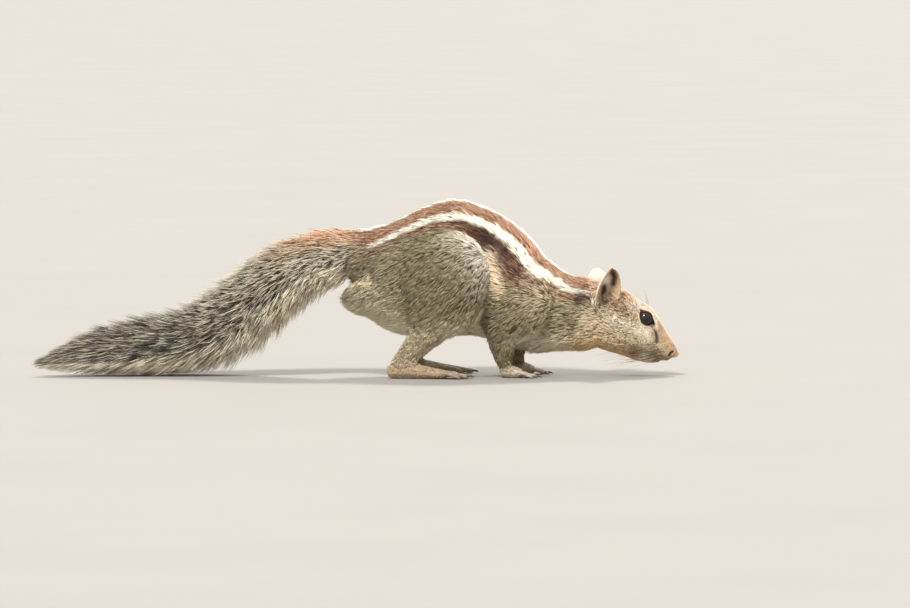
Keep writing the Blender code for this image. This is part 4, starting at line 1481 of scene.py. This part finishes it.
def tube(path, radii, sides):
    """A closed tube with a point at its end, along a path."""
    ways = unit(np.gradient(path, axis=0))
    across = unit(np.cross(ways, (0.13, 0.21, 0.97)))
    over = np.cross(across, ways)
    turn = np.linspace(0, 2 * np.pi, sides, endpoint=False)
    rings = [
        path[k] + radii[k] * (across[k] * np.cos(turn)[:, None] + over[k] * np.sin(turn)[:, None])
        for k in range(len(path) - 1)
    ]
    points = np.concatenate([*rings, path[-1:], path[:1]])
    faces = []
    last = len(points) - 2
    for k in range(len(path) - 2):
        for i in range(sides):
            j = (i + 1) % sides
            low, high = k * sides, (k + 1) * sides
            faces += [(low + i, high + i, high + j), (low + i, high + j, low + j)]
    end = (len(path) - 2) * sides
    for i in range(sides):
        j = (i + 1) % sides
        faces += [(end + i, last, end + j), (j, last + 1, i)]
    return points, np.array(faces)


CLAW_ARCH = 0.54  # how strongly a claw is bent, as a share of its length
LEAST_CLAW_RADIUS = 0.28


def make_claws(solids):
    """Curved horn claws, a little longer than wide, where the solids have theirs."""
    material = claw_material()
    for name in sorted(solids):
        if "_claw_" not in name:
            continue
        points, _ = solids[name]
        tip = points[points[:, 0].argmax()]
        back_end = claw_back(points)
        root = back_end.mean(axis=0)
        radius = max(LEAST_CLAW_RADIUS, np.linalg.norm(back_end - root, axis=1).mean())
        t = np.linspace(0, 1, 9)[:, None]
        arch = np.array((0, 0, CLAW_ARCH * np.linalg.norm(tip - root)))
        path = root * (1 - t) + tip * t + arch * (t * (1 - t))
        path[:, 2] = np.maximum(path[:, 2], 0.12 + radius * (1 - t[:, 0]) * 0.9)
        radii = radius * (1 - t[:, 0] ** 1.4) + 0.02
        tube_points, tube_faces = tube(path, radii, 10)
        tube_points[:, 2] = np.maximum(tube_points[:, 2], 0.03)
        shade = ramp(np.linalg.norm(tube_points - root, axis=1), 0.0, np.linalg.norm(tip - root))
        colours = tinted(plain(CLAW_ROOT, len(tube_points)), CLAW_TIP, 0.8 * shade)
        piece = make_piece("horn_" + name, tube_points, tube_faces, material, colours)
        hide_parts(name)


BRISTLES = 26  # short and pale, on each side of the mouth
WHISKER_RADIUS = 0.085
LOWEST_WHISKER = 0.25


# Lone whiskers over the eye and under the chin: the place in the side view, the length and the way out.
LONE_WHISKERS = (
    ((17.0, 8.6), 9.0, (-0.5, 0.7, 0.6)),
    ((19.0, 9.0), 10.0, (-0.3, 0.6, 0.8)),
    ((25.0, -11.5), 8.0, (-0.5, 0.5, -0.25)),
    ((14.0, -8.0), 9.0, (-0.5, 0.85, -0.2)),
)


def whisker_places(draw):
    """Four rows of four on the pad, the lone ones, and the short bristles, each as in LONE_WHISKERS."""
    for row in range(4):
        for column in range(4):
            at = (27.6 + 1.6 * column + 0.4 * row, -2.6 - 1.25 * row - 0.35 * column)
            length = 24 - 3.6 * column - 1.2 * row + draw.uniform(-1.5, 1.5)
            yield at, length, (-0.62 - 0.06 * row, 0.62, -0.30 - 0.16 * row)
    yield from LONE_WHISKERS
    for _ in range(BRISTLES):
        at = (draw.uniform(25.4, 31.0), draw.uniform(-9.6, -7.4))
        yield at, draw.uniform(2.2, 3.4), (-0.75, 0.45, -0.75)


def make_whiskers(skin, head):
    """Rows of long hairs on the whisker pads, a few over the eyes and under the chin, and pale bristles."""
    tree = BVHTree.FromPolygons(skin.points.tolist(), skin.faces.tolist())
    draw = np.random.default_rng(77)
    parts, colours = [], []
    t = np.linspace(0, 1, 10)[:, None]
    for side in (1, -1):
        inward = head.turned((0.0, -side, 0.0))
        for (x, z), length, way in list(whisker_places(draw)):
            start = head.out((x, 14.0 * side, z))
            hit = tree.ray_cast(Vector(start), Vector(inward))[0]
            if hit is None:
                continue
            root = np.array(hit)
            way = unit(head.turned(np.array(way) * (1, side, 1)) + draw.normal(0, 0.06, 3))
            sag = head.turned((-0.22, 0.0, -0.10)) * length
            path = root - way * 0.4 + way * length * t + sag * t**2
            path[:, 2] = np.maximum(path[:, 2], LOWEST_WHISKER)
            points, faces = tube(path, WHISKER_RADIUS * (1 - 0.85 * t[:, 0]), 4)
            parts.append((points, faces))
            shade = ramp(np.linalg.norm(points - root, axis=1) / length, 0.1, 0.9)
            root_colour, tip_colour = (CREAM, CREAM) if length < 4 else (WHISKER_ROOT, WHISKER_TIP)
            colours.append(tinted(plain(root_colour, len(points)), tip_colour, shade))
    make_piece("whiskers", *joined(parts), whisker_material(), np.concatenate(colours))


# ---------------------------------------------------------------- floor, light, camera

FLOOR_RADIUS = 60  # these two in metres
FLOOR_DROP = 0.00005


def make_floor():
    """A wide plain disc, just under the feet."""
    bpy.ops.mesh.primitive_circle_add(
        vertices=96, radius=FLOOR_RADIUS, fill_type="NGON", location=(0, 0, -FLOOR_DROP)
    )
    floor = bpy.context.object
    floor.name = "floor"
    material, tree, shader = new_material("floor", 0.75, 0.25)
    place = add_node(tree, "ShaderNodeTexCoord")
    noise = add_node(tree, "ShaderNodeTexNoise", Vector=place.outputs["Object"], Scale=9.0, Detail=4.0)
    blend = add_node(tree, "ShaderNodeMix", data_type="RGBA", Factor=noise.outputs["Fac"])
    for number, tint in zip((6, 7), FLOOR_TINTS):  # the mix node's two colours
        blend.inputs[number].default_value = (*linear(tint), 1)
    tree.links.new(blend.outputs[2], shader.inputs["Base Color"])
    floor.data.materials.append(material)


def add_sun(name, way_from, strength, angle, colour):
    """A wide, soft sun that shines from one direction."""
    data = bpy.data.lights.new(name, "SUN")
    data.energy = strength
    data.angle = math.radians(angle)
    data.color = colour
    light = bpy.data.objects.new(name, data)
    light.rotation_euler = Vector(way_from).to_track_quat("Z", "Y").to_euler()
    bpy.context.scene.collection.objects.link(light)


def make_lights():
    """A key light from the camera's left, a second from behind, and an even pale world."""
    add_sun("key", (-0.35, -0.75, 1.0), 4.8, 12, (1.0, 0.975, 0.93))
    add_sun("rim", (0.15, 0.75, 1.0), 3.0, 10, (1.0, 0.97, 0.92))
    world = bpy.data.worlds.new("studio")
    world.use_nodes = True
    world.node_tree.nodes["Background"].inputs["Color"].default_value = (1.0, 0.995, 0.98, 1)
    world.node_tree.nodes["Background"].inputs["Strength"].default_value = 0.95
    bpy.context.scene.world = world
    bpy.context.scene.view_settings.view_transform = "Standard"


FRAME_WIDTH = 0.364  # what the picture spans at the animal, and the other sizes here, in metres
CAMERA_DISTANCE = 3.0
CAMERA_RISE = 3.0  # degrees
FRAME_MIDDLE = (0.039, 0.0, 0.0288)
SENSOR_WIDTH = 36


def make_camera():
    """A long lens from the animal's right, a little above the floor."""
    data = bpy.data.cameras.new("camera")
    data.sensor_width = SENSOR_WIDTH
    data.lens = SENSOR_WIDTH * CAMERA_DISTANCE / FRAME_WIDTH
    data.clip_start = 0.01
    camera = bpy.data.objects.new("camera", data)
    rise = math.radians(CAMERA_RISE)
    middle = Vector(FRAME_MIDDLE)
    camera.location = middle + Vector((0, -math.cos(rise), math.sin(rise))) * CAMERA_DISTANCE
    camera.rotation_euler = (middle - camera.location).to_track_quat("-Z", "Y").to_euler()
    bpy.context.scene.collection.objects.link(camera)
    bpy.context.scene.camera = camera


# ---------------------------------------------------------------- the whole animal

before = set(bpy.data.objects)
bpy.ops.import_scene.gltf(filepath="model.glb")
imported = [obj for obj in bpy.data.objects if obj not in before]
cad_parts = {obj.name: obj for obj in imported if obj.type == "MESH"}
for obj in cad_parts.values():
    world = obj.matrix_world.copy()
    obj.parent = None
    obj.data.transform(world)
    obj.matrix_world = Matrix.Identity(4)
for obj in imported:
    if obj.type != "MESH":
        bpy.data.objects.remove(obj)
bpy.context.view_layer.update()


def main():
    solids = {name: solid_arrays(node) for name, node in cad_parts.items()}
    flesh = [name for name in sorted(solids) if not name.startswith("eye_") and "_claw_" not in name]
    tail = Tail(solids)
    head = Head()
    skin, kinds, edges, liners = make_skin(solids, flesh, tail, head)
    back = Back(skin, kinds)
    colour, dark, bare = paint(skin, kinds, edges, liners, tail, head, back)
    body = make_piece("skin", skin.points, skin.faces, skin_material(), colour * SKIN_SHADE)
    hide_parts(*flesh)
    fields = coat_fields(skin, kinds, tail, head, back, colour, dark, edges, liners, bare)
    grow_all(skin, kinds, fields, tail)
    make_eyes(head)
    make_claws(solids)
    make_whiskers(skin, head)
    make_floor()
    make_lights()
    make_camera()


main()
